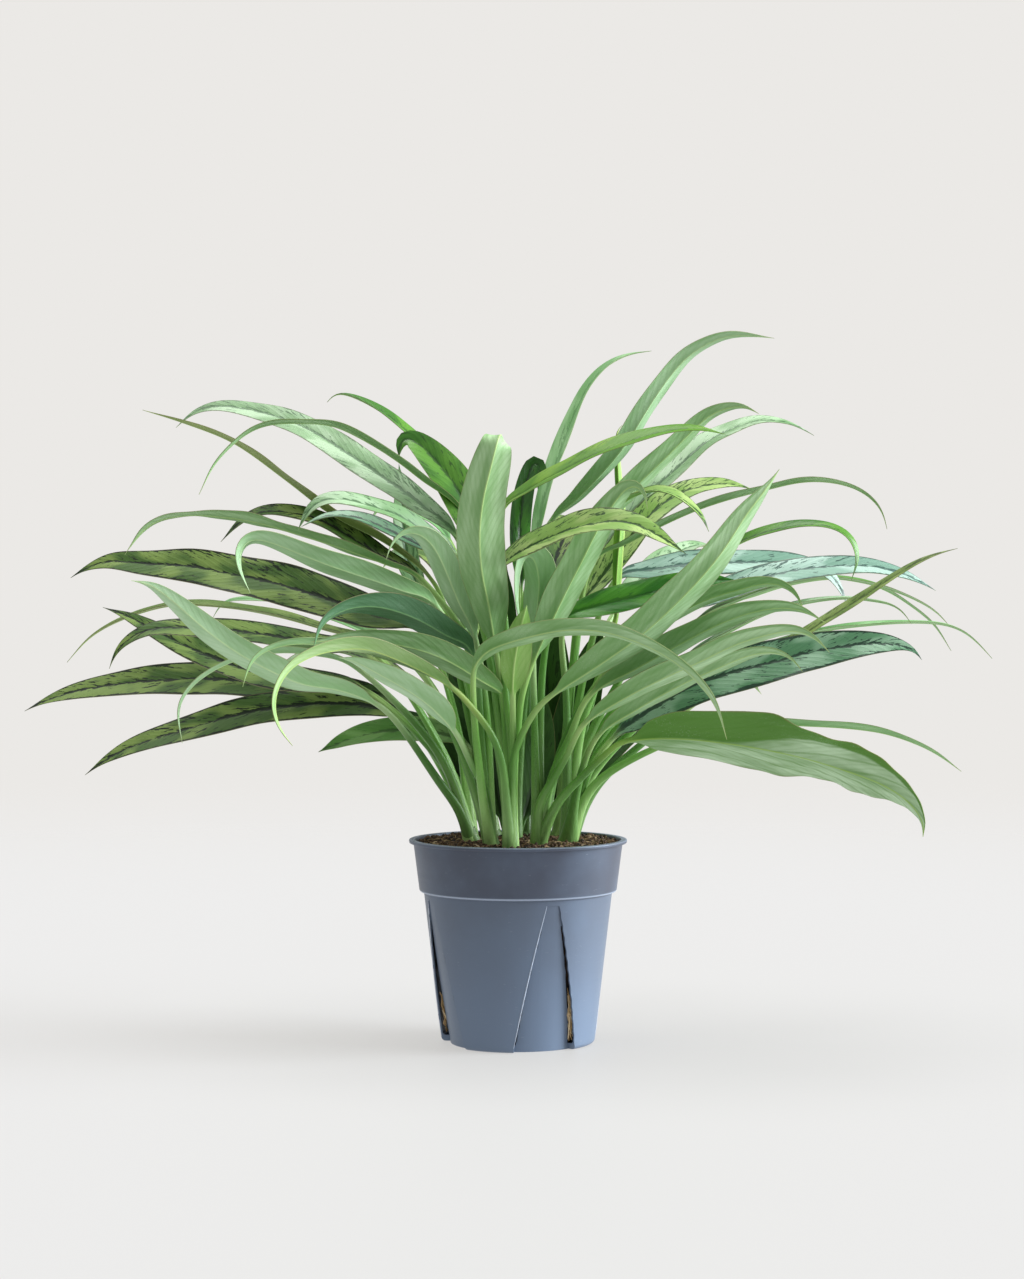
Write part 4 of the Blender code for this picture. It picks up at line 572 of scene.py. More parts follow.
# Patterns on the pot and the soil: spots to a metre, in all directions or in each
POT_CLOUDS = 22.0
POT_PITS = 1400.0
SOIL_CLUMPS = 160.0
SOIL_GRAINS = 900.0
SCRAP_GRAIN = 1100.0
POT_BANDS = (6.0, 6.0, 240.0)
POT_SCUFFS = (150.0, 150.0, 900.0)

# Heights between which the painted highlight under the collar and the pale line at the rim come and go
UNDER_COLLAR_LOW = (117.2, 117.8)
UNDER_COLLAR_HIGH = (119.4, 118.6)
RIM_PALE_LINE = (157.0, 157.8)

# Loose bits on the soil: their material's name, how many there are, their least and greatest size, how flat
# they are, their darkest and lightest tone, how rough they are, and the size above which they have more faces
Scraps = namedtuple("Scraps", "material count sizes flat dark light rough fine_above")
SCRAPS = {
    "soil_crumbs": Scraps("crumb", 4200, (0.8, 3.6), (0.45, 1.0), (34, 25, 20), (104, 78, 56), 0.95, 2.4),
    "soil_chips": Scraps("chip", 130, (1.4, 5.0), (0.16, 0.35), (150, 126, 96), (196, 176, 146), 0.9, 2.0),
}

# Stage
FLOOR_RADIUS = 6000.0
FLOOR_SIDES = 96
FLOOR_DROP = 0.2
FLOOR_CLEAR = (900.0, 3200.0)
FLOOR_COLOUR = (118, 118, 119)
FLOOR_GLOW = 0.60
FLOOR_ROUGH = 0.6
WALL_COLOUR = (235, 233, 230)
FILL_STRENGTH = 0.50
# A wide light's direction from the plant, its spread in degrees, its strength and its colour
Light = namedtuple("Light", "way spread strength colour")
LIGHTS = {
    "window": Light((0.92, -0.10, 0.40), 36, 4.6, (0.90, 0.955, 1.0)),
    "window_low": Light((0.94, 0.26, 0.10), 30, 1.6, (0.88, 0.95, 1.0)),
    "overhead": Light((-0.15, 0.02, 1.0), 50, 2.4, (1.0, 0.995, 0.98)),
}

# Camera
CLIP_END = 20.0
LENS = 81.6
FILM_HEIGHT = 36.0
CAMERA_SHIFT = -0.0426


def linear(colour):
    """The shader's linear colour of an 8-bit screen colour."""
    steps = [value / 255 for value in colour]
    return (*[s / 12.92 if s <= 0.04045 else ((s + 0.055) / 1.055) ** 2.4 for s in steps], 1.0)


class Nodes:
    """A material whose nodes are added and linked one by one."""

    def __init__(self, name):
        self.material = bpy.data.materials.new(name)
        self.material.use_nodes = True
        self.tree = self.material.node_tree
        self.shader = self.tree.nodes["Principled BSDF"]

    def new(self, kind, **settings):
        node = self.tree.nodes.new("ShaderNode" + kind)
        for key, value in settings.items():
            setattr(node, key, value)
        return node

    def put(self, socket, value):
        if isinstance(value, bpy.types.NodeSocket):
            self.tree.links.new(value, socket)
        else:
            socket.default_value = value

    def math(self, operation, *values):
        node = self.new("Math", operation=operation)
        for socket, value in zip(node.inputs, values):
            self.put(socket, value)
        return node.outputs[0]

    def total(self, *terms):
        """The sum of (value, factor) pairs."""
        result = 0.0
        for value, factor in terms:
            result = self.math("MULTIPLY_ADD", value, factor, result)
        return result

    def smooth(self, value, low, high, start=0.0, end=1.0):
        node = self.new("MapRange", interpolation_type="SMOOTHSTEP")
        for socket, given in zip(node.inputs, (value, low, high, start, end)):
            self.put(socket, given)
        return node.outputs[0]

    def mix(self, share, first, second):
        """A mix of two colours, each from a node or an 8-bit screen colour."""
        node = self.new("Mix", data_type="RGBA")
        self.put(node.inputs[0], share)
        for socket, colour in ((6, first), (7, second)):
            self.put(node.inputs[socket], linear(colour) if isinstance(colour, tuple) else colour)
        return node.outputs[2]

    def tinted(self, colour, other, value, low, high, start=0.0, end=1.0):
        """A colour with a share of another laid over it, which goes from start to end as a value does from
        low to high."""
        return self.mix(self.smooth(value, low, high, start, end), colour, other)

    def parts(self, vector):
        node = self.new("SeparateXYZ")
        self.put(node.inputs[0], vector)
        return node.outputs

    def vector(self, *values):
        node = self.new("CombineXYZ")
        for socket, value in zip(node.inputs, values):
            self.put(socket, value)
        return node.outputs[0]

    def scaled(self, vector, factors):
        node = self.new("VectorMath", operation="MULTIPLY")
        self.put(node.inputs[0], vector)
        self.put(node.inputs[1], factors)
        return node.outputs[0]

    def attribute(self, name):
        return self.new("Attribute", attribute_name=name).outputs["Vector"]

    def place(self):
        return self.new("TexCoord").outputs["Object"]

    def noise(self, vector, scale=1.0, detail=2.0, roughness=0.5):
        node = self.new("TexNoise")
        self.put(node.inputs["Vector"], vector)
        node.inputs["Scale"].default_value = scale
        node.inputs["Detail"].default_value = detail
        node.inputs["Roughness"].default_value = roughness
        return node.outputs[0]

    def grain(self, first, second, layer, sizes, **settings):
        """Noise in two directions, with a size in each, that differs from layer to layer."""
        place = [self.math("DIVIDE", value, size) for value, size in zip((first, second), sizes)]
        return self.noise(self.vector(*place, layer), **settings)

    def bump(self, height, depth):
        """Surface relief of a 0 to 1 height, depth millimetres deep."""
        node = self.new("Bump")
        node.inputs["Strength"].default_value = 1.0
        node.inputs["Distance"].default_value = depth * MM
        self.put(node.inputs["Height"], height)
        self.put(self.shader.inputs["Normal"], node.outputs[0])

    def done(self, colour, roughness):
        self.put(self.shader.inputs["Base Color"], colour)
        self.put(self.shader.inputs["Roughness"], roughness)
        return self.material


def slanted(nodes, along, out, slant):
    """Distances along and across lines that leave the rib at a slant towards the tip."""
    forward = nodes.total((along, math.cos(slant)), (out, math.sin(slant)))
    beside = nodes.total((out, math.cos(slant)), (along, -math.sin(slant)))
    return forward, beside


def veins_of(nodes, beside, spacing, low, *wander):
    """Lines at a spacing, bent by (value, factor) pairs, that fade in from a low share of their height."""
    return nodes.smooth(nodes.math("SINE", nodes.total((beside, math.tau / spacing), *wander)), low, 1.0)


def leaf_material(name, look):
    """A leaf: marked above and plain below, on a pale stalk. It reads the place and share of each point."""
    nodes = Nodes("leaf_" + name)
    across, along, seed = nodes.parts(nodes.attribute("place"))
    edge, share, upper = nodes.parts(nodes.attribute("share"))
    out = nodes.math("ABSOLUTE", across)
    edge_share = nodes.math("ABSOLUTE", edge)
    half = nodes.math("MULTIPLY_ADD", nodes.math("SIGN", across), HALF_LAYER, seed)
    forward, beside = slanted(nodes, along, out, MARK_SLANT)
    streaks = nodes.grain(forward, beside, half, MARKS, detail=3.0, roughness=0.6)
    groups = nodes.grain(along, out, nodes.math("ADD", half, GROUP_LAYER), MARK_GROUPS, detail=1.0)
    patches = nodes.grain(forward, beside, nodes.math("ADD", half, PATCH_LAYER), PATCHES, detail=1.5)
    fine = nodes.grain(forward, beside, half, FINE_STREAKS)
    cloud = nodes.grain(along, across, seed, CLOUDS, detail=2.5)
    dust = nodes.grain(along, across, seed, DUST, detail=1.0)
    wander = nodes.grain(along, out, half, VEIN_WANDER)
    veins = veins_of(nodes, slanted(nodes, along, out, VEIN_SLANT)[1], VEIN_SPACING, -0.2, (wander, 5.0))
    long_veins = veins_of(nodes, slanted(nodes, along, out, LONG_VEIN_SLANT)[1], LONG_VEIN_SPACING, 0.72,
                          (wander, 2.0), (half, 1.0))

    # Marks on the upper face: a ragged margin, a feathered band along the rib, and dashes between them
    ragged = nodes.total((edge_share, 1.0), (streaks, 0.42), (groups, 0.16))
    margin = nodes.smooth(ragged, 1.41 - 0.25 * look.marks, 1.44 - 0.25 * look.marks)
    feather = nodes.total((out, 1.0), (streaks, -7.0), (groups, -3.0), (nodes.smooth(share, 0.9, 0.0), -0.9))
    middle = nodes.smooth(feather, -3.9, -4.4)
    dashes = nodes.total((streaks, 1.0), (groups, 0.42), (nodes.smooth(share, 0.7, 0.0), 0.03),
                         (nodes.smooth(edge, 0.0, 0.8), 0.06))
    dashes = nodes.smooth(dashes, 0.89 - 0.05 * look.marks, 0.92 - 0.05 * look.marks)
    marked = nodes.math("MAXIMUM", nodes.math("MAXIMUM", margin, middle), dashes)
    marked = nodes.math("MULTIPLY", marked, min(1.0, 0.35 + 0.65 * look.marks))
    above = nodes.tinted(look.ground, look.patch, patches, 0.44, 0.60)
    above = nodes.tinted(above, look.mark, fine, 0.35, 0.75, 0.0, 0.13)
    # Painted shade: the upper face darkens towards the blade's base
    above = nodes.tinted(above, look.mark, share, 0.0, 0.45, 0.35, 0.0)
    above = nodes.mix(marked, above, look.mark)

    # Underside: clouds, painted shade on its upper half, in the hollow beside the rib and towards the blade's
    # base, veins, dust and the rib
    below = nodes.tinted(look.under, look.shade, cloud, 0.30, 0.70, 0.50, 0.0)
    # Painted shade on the upper half of the underside
    shaded_half = nodes.math("SUBTRACT", edge, nodes.smooth(share, 0.30, 0.66, 0.0, 0.7))
    below = nodes.tinted(below, look.shade, shaded_half, -0.03, 0.08, 0.0, look.halves)
    # Painted shade in the hollow beside the rib
    below = nodes.tinted(below, look.shade, edge_share, 0.55, 0.05, 0.0, 0.3)
    below = nodes.mix(nodes.math("MULTIPLY", long_veins, look.veins), below, look.shade)
    below = nodes.mix(nodes.math("MULTIPLY", veins, 0.13), below, look.shade)
    # Painted shade: the underside darkens towards the blade's base
    below = nodes.tinted(below, look.shade, share, 0.0, 0.34, 0.62, 0.0)
    below = nodes.tinted(below, LEAF_DUST, nodes.total((dust, 1.0), (cloud, 0.6)), 0.92, 1.08, 0.0, 0.12)
    below = nodes.tinted(below, look.rib, out, 1.05, 0.30, 0.0, 0.60)
    colour = nodes.mix(upper, below, above)
    colour = nodes.tinted(colour, MARGIN_LINE, edge_share, 0.96, 0.995, 0.0, 0.45)

    # Stalk, with a depth of tone of its own for each leaf, and painted shade on the stalks of the leaves deep
    # among the others
    own = nodes.new("TexWhiteNoise", noise_dimensions="1D")
    nodes.put(own.inputs["W"], seed)
    depth = nodes.total((nodes.grain(along, across, seed, STALK_GRAIN), 0.7), (own.outputs["Value"], 1.0))
    stalk = nodes.tinted(STALK_LOW, STALK_HIGH, share, -1.0, -0.35)
    stalk = nodes.tinted(stalk, STALK_STREAK, depth, 0.55, 1.30, 0.0, 0.75)
    stalk = nodes.mix(look.stalk, stalk, STALK_PAINTED_SHADE)
    stalk = nodes.tinted(stalk, look.rib, share, -0.35, 0.0, 0.0, 0.5)
    colour = nodes.tinted(colour, stalk, share, 0.06, -0.03)

    nodes.bump(nodes.total((veins, 0.45), (fine, 0.25), (dust, 0.30)), 0.14)
    nodes.shader.inputs["Specular IOR Level"].default_value = GLOSSY if look.rough < MATT_FROM else MATT
    blade = nodes.smooth(share, -0.03, 0.06)
    rough = nodes.math("MULTIPLY", nodes.smooth(upper, 0.0, 1.0, UNDER_ROUGH, look.rough), blade)
    rough = nodes.total((blade, -STALK_ROUGH), (rough, 1.0), (1.0, STALK_ROUGH), (cloud, 0.12))
    return nodes.done(colour, rough)


def cane_material():
    nodes = Nodes("cane")
    across, along, seed = nodes.parts(nodes.attribute("place"))
    grain = nodes.grain(across, along, seed, CANE_GRAIN)
    rings = nodes.grain(across, along, seed, CANE_RINGS)
    colour = nodes.tinted(CANE_LOW, CANE_HIGH, along, *CANE_GREENING)
    colour = nodes.tinted(colour, CANE_STREAK, grain, 0.4, 0.7, 0.0, 0.4)
    colour = nodes.tinted(colour, CANE_SCAR, rings, 0.58, 0.7, 0.0, 0.3)
    nodes.bump(nodes.total((grain, 0.5), (rings, 0.5)), 0.3)
    return nodes.done(colour, nodes.smooth(grain, 0.3, 0.7, 0.42, 0.55))


def pot_material():
    nodes = Nodes("pot_plastic_fine")
    place = nodes.place()
    height = nodes.math("DIVIDE", nodes.parts(place)[2], MM)
    cloud = nodes.noise(place, scale=POT_CLOUDS, detail=3.0)
    bands = nodes.noise(nodes.scaled(place, POT_BANDS))
    scuffs = nodes.noise(nodes.scaled(place, POT_SCUFFS), detail=3.0, roughness=0.65)
    pits = nodes.noise(place, scale=POT_PITS)
    # Painted light: the body lightens towards its foot as painted reflection of the floor, and the collar
    # darkens as painted shade
    body = nodes.tinted(BODY_LOW_PAINTED_REFLECTION, BODY_HIGH_COLOUR, height, 0.0, BODY_TOP_Z)
    colour = nodes.tinted(body, COLLAR_PAINTED_SHADE_COLOUR, height, COLLAR_BOTTOM_Z - COLLAR_ROUND, COLLAR_BOTTOM_Z + 1)
    colour = nodes.tinted(colour, POT_SCUFF, cloud, 0.3, 0.75, 0.0, 0.35)
    # Painted highlight: a light line under the collar; also a pale line at the rim
    under_collar_highlight = nodes.math("MULTIPLY", nodes.smooth(height, *UNDER_COLLAR_LOW),
                              nodes.smooth(height, *UNDER_COLLAR_HIGH))
    highlight_and_rim_line = nodes.math("MAXIMUM", under_collar_highlight, nodes.smooth(height, *RIM_PALE_LINE, 0.0, 0.5))
    colour = nodes.mix(nodes.math("MULTIPLY", highlight_and_rim_line, 0.75), colour, POT_EDGE)
    colour = nodes.tinted(colour, POT_SCRATCH, scuffs, 0.66, 0.78, 0.0, 0.5)
    nodes.bump(nodes.total((pits, 0.5), (bands, 0.3), (scuffs, 0.2)), 0.05)
    nodes.shader.inputs["Specular IOR Level"].default_value = POT_SHEEN
    nodes.shader.inputs["Specular Tint"].default_value = linear(SHEEN_COLOUR)
    return nodes.done(colour, nodes.total((cloud, 0.14), (bands, 0.08), (scuffs, 0.10), (1.0, 0.25)))


def soil_material():
    nodes = Nodes("soil_fine")
    place = nodes.place()
    lumps = nodes.noise(place, scale=SOIL_CLUMPS, detail=4.0, roughness=0.65)
    grains = nodes.noise(place, scale=SOIL_GRAINS, detail=3.0, roughness=0.6)
    colour = nodes.tinted(SOIL_DARK, SOIL_BROWN, lumps, 0.36, 0.68)
    colour = nodes.tinted(colour, CRUMB_TAN, grains, 0.64, 0.78, 0.0, 0.7)
    nodes.bump(nodes.total((lumps, 0.6), (grains, 0.4)), 1.2)
    return nodes.done(colour, nodes.smooth(grains, 0.3, 0.7, 0.82, 0.98))


def scrap_material(name, dark, light, rough):
    """Loose bits, each with a tone of its own between dark and light, from its points' tone."""
    nodes = Nodes(name)
    tone = nodes.parts(nodes.attribute("tone"))[0]
    grain = nodes.noise(nodes.place(), scale=SCRAP_GRAIN, detail=3.0)
    colour = nodes.tinted(dark, light, nodes.total((tone, 0.85), (grain, 0.5), (1.0, -0.2)), 0.0, 1.0)
    nodes.bump(grain, 0.4)
    return nodes.done(colour, nodes.smooth(grain, 0.3, 0.7, rough - 0.1, rough))


def new_object(name, data):
    made = bpy.data.objects.new(name, data)
    bpy.context.scene.collection.objects.link(made)
    return made


def piece_of(name, verts, faces, sharp=None):
    """A mesh object in metres from points and faces in millimetres, smooth between edges sharper than an angle
    in degrees if one is given."""
    mesh = bpy.data.meshes.new(name)
    mesh.from_pydata((np.asarray(verts) * MM).tolist(), [], faces)
    if sharp:
        mesh.shade_smooth()
        mesh.set_sharp_from_angle(angle=math.radians(sharp))
    return new_object(name, mesh)


def give_vectors(mesh, name, values):
    layer = mesh.attributes.new(name, "FLOAT_VECTOR", "POINT")
    layer.data.foreach_set("vector", np.asarray(values, np.float32).ravel())


def seen(point):
    """The place, at its own depth, of a point that reads as (across, height) in the plane of the axis."""
    across, depth, height = point
    away = 1 - depth / EYE.y
    return Vector((EYE.x + (across - EYE.x) * away, depth, EYE.z + (height - EYE.z) * away))


def through(points, steps=CURVE_STEPS):
    """A smooth curve through the points, in many short steps."""
    points = np.array(points, float)
    ends = np.vstack([2 * points[0] - points[1], points, 2 * points[-1] - points[-2]])
    t = np.linspace(0, 1, steps, endpoint=False)[:, None]
    spans = [0.5 * (2 * b + (c - a) * t + (2 * a - 5 * b + 4 * c - d) * t ** 2
                    + (3 * b - a - 3 * c + d) * t ** 3)
             for a, b, c, d in zip(ends, ends[1:], ends[2:], ends[3:])]
    return np.vstack([*spans, points[-1:]])


def lengths_of(curve):
    return np.concatenate([[0.0], np.cumsum(np.linalg.norm(np.diff(curve, axis=0), axis=1))])


def at_lengths(curve, targets):
    lengths = lengths_of(curve)
    return np.column_stack([np.interp(targets, lengths, curve[:, k]) for k in range(3)])


def relaxed(values, passes):
    """The rows of an array drawn towards their neighbours, the two ends kept."""
    for step in range(passes):
        values[1:-1] += 0.5 * ((values[:-2] + values[2:]) / 2 - values[1:-1])
    return values


def leaf_course(leaf, root):
    """Places along a leaf from its sheath in the soil to its tip, and the share of each: -1 to 0 along the
    stalk and 0 to 1 along the blade."""
    first = seen(leaf.stalk[0])
    lean = Vector((first.x - root.x, first.y - root.y, 0.0)) * (root.z - SHEATH_BOTTOM_Z) / (first.z - root.z)
    aside = lean.normalized() * SHEATH_ASIDE
    low = Vector((root.x, root.y, SHEATH_BOTTOM_Z)) + aside - lean.normalized() * min(lean.length, SHEATH_LEAN)
    stalk_points = [low, root + aside, *map(seen, leaf.stalk)]
    curve = through(stalk_points + [seen(point) for point in leaf.blade])
    lengths = lengths_of(curve)
    neck = lengths[CURVE_STEPS * len(stalk_points)] / lengths[-1]
    curve += SETTLE
    even = at_lengths(curve, np.linspace(0, lengths[-1], int(lengths[-1] / COURSE_STEP)))
    even = relaxed(even, RELAX_PASSES)
    length = lengths_of(even)[-1]
    stalk_count = max(LEAST_STALK_RINGS, int(neck * length / STALK_STEP))
    blade_count = max(LEAST_BLADE_RINGS, int((1 - neck) * length / BLADE_STEP))
    stalk_shares = np.linspace(-1, 0, stalk_count, endpoint=False)
    blade_shares = np.linspace(0, 1, blade_count)
    targets = np.concatenate([(stalk_shares + 1) * neck, neck + blade_shares * (1 - neck)]) * length
    return at_lengths(even, targets), np.concatenate([stalk_shares, blade_shares]), targets - neck * length


def frames_along(places, shares, face, twist):
    """The side and upper directions at each place, carried along the course without spin."""
    heads = np.gradient(places, axis=0)
    heads /= np.linalg.norm(heads, axis=1)[:, None]
    uppers = np.zeros_like(places)
    middle = int(np.searchsorted(shares, REFERENCE_SHARE))
    for way in (range(middle, len(places)), range(middle, -1, -1)):
        carried = np.array(face, float)
        for i in way:
            carried = carried - carried.dot(heads[i]) * heads[i]
            carried /= np.linalg.norm(carried)
            uppers[i] = carried
    turns = np.radians(twist) * (np.maximum(shares, TWIST_FROM) - REFERENCE_SHARE)
    sides = -np.cross(heads, uppers)
    turned_uppers = np.cos(turns)[:, None] * uppers - np.sin(turns)[:, None] * sides
    return -np.cross(heads, turned_uppers), turned_uppers


def leaf_skin(leaf, root, cane_radius, seed):
    """Rings of points round a leaf, with each point's place on the leaf and its shares of width and length."""
    chance = random.Random(seed)
    places, shares, along = leaf_course(leaf, root)
    sides, uppers = frames_along(places, shares, leaf.face, leaf.twist)
    blade = np.clip(shares, 0, 1)
    outline = np.array(BLADE_OUTLINE)
    widths = relaxed(np.interp(blade, outline[:, 0], outline[:, 1]), WIDTH_PASSES)
    point = 1 - np.clip((blade - POINT_SHARE) / (1 - POINT_SHARE), 0, 1) ** 2
    half = leaf.width / 2 * widths * (TIP_WIDTH + (1 - TIP_WIDTH) * point)
    swell = np.sin(np.pi * blade)
    u = np.array(ACROSS)
    fold = math.radians(leaf.fold)
    camber = np.abs(u) * (1 + CAMBER - CAMBER * np.abs(u) ** 2)
    ripple = leaf.wave * np.sin(WAVES * math.tau * blade) * swell
    flutter = [half * FLUTTER * swell * np.sin(along / chance.uniform(*FLUTTER_LENGTHS)
                                               + chance.uniform(0, FLUTTER_SHIFT)) for side in range(2)]
    lift = (half * math.sin(fold))[:, None] * camber
    lift = lift - ripple[:, None] * u * np.abs(u)
    slant = along[:, None] - CRINKLE_SLANT * half[:, None] * np.abs(u)
    crinkle = CRINKLE_DEPTH * leaf.wave * swell[:, None] * np.minimum(1, 2.2 * np.abs(u)) ** 2
    lift += crinkle * np.sin(slant * math.tau / CRINKLE_SPACING + np.where(u < 0, 0.0, CRINKLE_SHIFT))
    lift += np.where(u < 0, flutter[0][:, None], flutter[1][:, None]) * np.abs(u) ** 3
    out = (half * math.cos(fold))[:, None] * u
    tapered = TIP_THICKNESS + (1 - TIP_THICKNESS) * point
    thick = (HALF_THICKNESS - MARGIN_THINNING * u ** 2) * tapered[:, None]
    groove = GROOVE_DEPTH * (1 - blade)[:, None] * np.exp(-(out / GROOVE_HALF_WIDTH) ** 2)
    keel = (KEEL_LEAST + KEEL_DEPTH * (1 - blade))[:, None] * np.exp(-(out / KEEL_HALF_WIDTH) ** 2)
    tall = np.concatenate([lift + thick - groove, (lift - thick - keel)[:, ::-1]], axis=1)
    wide = np.concatenate([out, out[:, ::-1]], axis=1)

    radius = STALK_NECK_RADIUS + (STALK_ROOT_RADIUS - STALK_NECK_RADIUS) * np.clip(-shares, 0, 1)
    from_root = along - along[0]
    sheath = cane_radius * chance.uniform(*SHEATH_SHARES) - STALK_ROOT_RADIUS
    radius = radius + sheath * np.exp(-(from_root / SHEATH_LENGTH) ** 2)
    count = len(ACROSS)
    over = np.linspace(180 - RING_GAP, RING_GAP, count)
    turns = np.radians(np.concatenate([over, -over[::-1]]))
    channel = 1 - CHANNEL_DEPTH * np.exp(-(np.cos(turns) / CHANNEL_HALF_WIDTH) ** 2) * (np.sin(turns) > 0)
    stalk_wide = radius[:, None] * np.cos(turns)
    stalk_tall = radius[:, None] * np.sin(turns) * (1 + (channel - 1) * np.clip(shares + 1, 0, 1)[:, None])
    share = np.clip(blade / NECK_SHARE, 0, 1)
    share = (share * share * (3 - 2 * share))[:, None]
    wide = stalk_wide + (wide - stalk_wide) * share
    tall = stalk_tall + (tall - stalk_tall) * share
    rings = places[:, None, :] + wide[:, :, None] * sides[:, None, :] + tall[:, :, None] * uppers[:, None, :]

    u_round = np.concatenate([u, u[::-1]])
    is_upper = np.concatenate([np.ones(count), np.zeros(count)])
    shape = rings.shape[:2]
    place = np.stack([wide, np.broadcast_to(along[:, None], shape), np.full(shape, seed * SEED_STEP)], axis=2)
    higher = math.copysign(1.0, sides[int(np.searchsorted(shares, REFERENCE_SHARE)), 2])
    shared = np.stack([np.broadcast_to(higher * u_round, shape), np.broadcast_to(shares[:, None], shape),
                       np.broadcast_to(is_upper, shape)], axis=2)
    return rings, place, shared


def cane_skin(shoot, seed):
    """Rings round a shoot's cane, upright in the soil, then narrowing and leaning, with its leaf scars."""
    levels = np.arange(CANE_BOTTOM_Z, CANE_TOP_Z + 0.1, 1.0)
    above = np.clip((levels - STALK_ROOT_Z) / (CANE_TOP_Z - STALK_ROOT_Z), 0, 1)
    radius = CANE_SHARE * shoot.radius * (1 - (1 - CANE_TOP_SHARE) * above)
    scars = np.exp(-(((levels + 3 * seed) % SCAR_SPACING - SCAR_SPACING / 2) / SCAR_HALF_WIDTH) ** 2)
    radius = radius * (1 - SCAR_SHARE / 2 + SCAR_SHARE * scars)
    turns = -np.arange(CANE_SIDES) * math.tau / CANE_SIDES
    centres = np.column_stack([shoot.x + shoot.lean[0] * above, shoot.y + shoot.lean[1] * above, levels])
    rings = np.repeat(centres[:, None, :], CANE_SIDES, axis=1)
    rings[:, :, 0] += radius[:, None] * np.cos(turns)
    rings[:, :, 1] += radius[:, None] * np.sin(turns)
    shape = rings.shape[:2]
    place = np.stack([np.broadcast_to(turns * shoot.radius, shape), rings[:, :, 2],
                      np.full(shape, seed * SEED_STEP)], axis=2)
    return rings, place, np.zeros_like(place)


def skin_faces(ring_count, around, first):
    """Quads between the rings, and a cap on each end, for rings that turn clockwise about their heading."""
    i, k = np.meshgrid(np.arange(ring_count - 1), np.arange(around), indexing="ij")
    j = (k + 1) % around
    low = first + i * around
    quads = np.stack([low + k, low + around + k, low + around + j, low + j], axis=2).reshape(-1, 4)
    last = first + (ring_count - 1) * around
    return quads.tolist() + [list(range(first, first + around)), list(range(last + around - 1, last - 1, -1))]


def skin_map(ring_count, around, left, right):
    """The map places of the corners of skin_faces, in one upright strip between left and right, with the caps
    as small ovals in the strip's lower left and upper left corners."""
    i, k = np.meshgrid(np.arange(ring_count - 1), np.arange(around), indexing="ij")
    width = right - left
    low, span = left + STRIP_MARGIN * width, (1 - 2 * STRIP_MARGIN) * width
    near, far = low + span * k / around, low + span * (k + 1) / around
    bottom, top = [MAP_MARGIN + (1 - 2 * MAP_MARGIN) * (i + end) / (ring_count - 1) for end in (0, 1)]
    quads = np.stack([near, bottom, near, top, far, top, far, bottom], axis=2).reshape(-1, 2)
    turn = np.arange(around) * math.tau / around
    caps = [np.column_stack([left + CAP_WIDTH * width * (1.5 + np.cos(way * turn)),
                             height + CAP_HEIGHT * np.sin(way * turn)])
            for height, way in ((CAP_FROM_END, 1), (1 - CAP_FROM_END, -1))]
    return np.vstack([quads, *caps])


def shoot_piece(name, shoot, materials):
    """A shoot's fine skin: its cane and all its leaves, each in a strip of the map."""
    own = [(i, leaf) for i, leaf in enumerate(LEAVES.values()) if leaf.shoot == name]
    root = Vector((shoot.x, shoot.y, STALK_ROOT_Z))
    skins = [(*cane_skin(shoot, len(name)), "cane")]
    skins += [(*leaf_skin(leaf, root, shoot.radius, i + 1), leaf.look) for i, leaf in own]
    verts, places, shares, faces, corners, slots = [], [], [], [], [], []
    first = 0
    used = sorted({look for *skin, look in skins})
    for strip, (rings, place, share, look) in enumerate(skins):
        ring_count, around = rings.shape[:2]
        verts.append(rings.reshape(-1, 3))
        places.append(place.reshape(-1, 3))
        shares.append(share.reshape(-1, 3))
        made = skin_faces(ring_count, around, first)
        faces += made
        slots += [used.index(look)] * len(made)
        corners.append(skin_map(ring_count, around, strip / len(skins), (strip + 1) / len(skins)))
        first += ring_count * around
    piece = piece_of("leaves_" + name, np.vstack(verts), faces, LEAF_SHARP)
    mesh = piece.data
    give_vectors(mesh, "place", np.vstack(places))
    give_vectors(mesh, "share", np.vstack(shares))
    mesh.uv_layers.new(name=BAKE_MAP).data.foreach_set("uv", np.vstack(corners).astype(np.float32).ravel())
    for look in used:
        mesh.materials.append(materials[look])
    mesh.polygons.foreach_set("material_index", slots)
    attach(piece, "root")
    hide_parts("shoot_" + name)


def arc(radius, z, size, start, end, steps=ARC_STEPS):
    """Points of (radius, height) on a round corner between two angles in degrees."""
    turns = [math.radians(start + (end - start) * i / steps) for i in range(steps + 1)]
    return [(radius + size * math.cos(turn), z + size * math.sin(turn)) for turn in turns]


def mesh_of(name, shape):
    """A mesh in metres from a bmesh in millimetres."""
    bmesh.ops.scale(shape, vec=(MM, MM, MM), verts=shape.verts)
    mesh = bpy.data.meshes.new(name)
    shape.to_mesh(mesh)
    shape.free()
    return mesh


def polar(radius, turn, z):
    """The place at a radius and an angle round the z axis, at a height."""
    return radius * math.cos(turn), radius * math.sin(turn), z


def applied(made):
    """Gives an object the mesh that its modifiers make."""
    graph = bpy.context.evaluated_depsgraph_get()
    mesh = bpy.data.meshes.new_from_object(made.evaluated_get(graph))
    made.modifiers.clear()
    made.data = mesh


def turned(name, profile, steps):
    """A closed profile of (radius, height), running down its outer side, turned about the z axis."""
    shape = bmesh.new()
    points = [shape.verts.new((radius, 0, height)) for radius, height in profile]
    for a, b in zip(points, points[1:] + points[:1]):
        if a.co.x > 0 or b.co.x > 0:
            shape.edges.new((a, b))
    made = new_object(name, mesh_of(name, shape))
    screw = made.modifiers.new("Turn", "SCREW")
    screw.steps = steps
    screw.render_steps = steps
    screw.use_merge_vertices = True
    screw.merge_threshold = 0.00001
    applied(made)
    return made


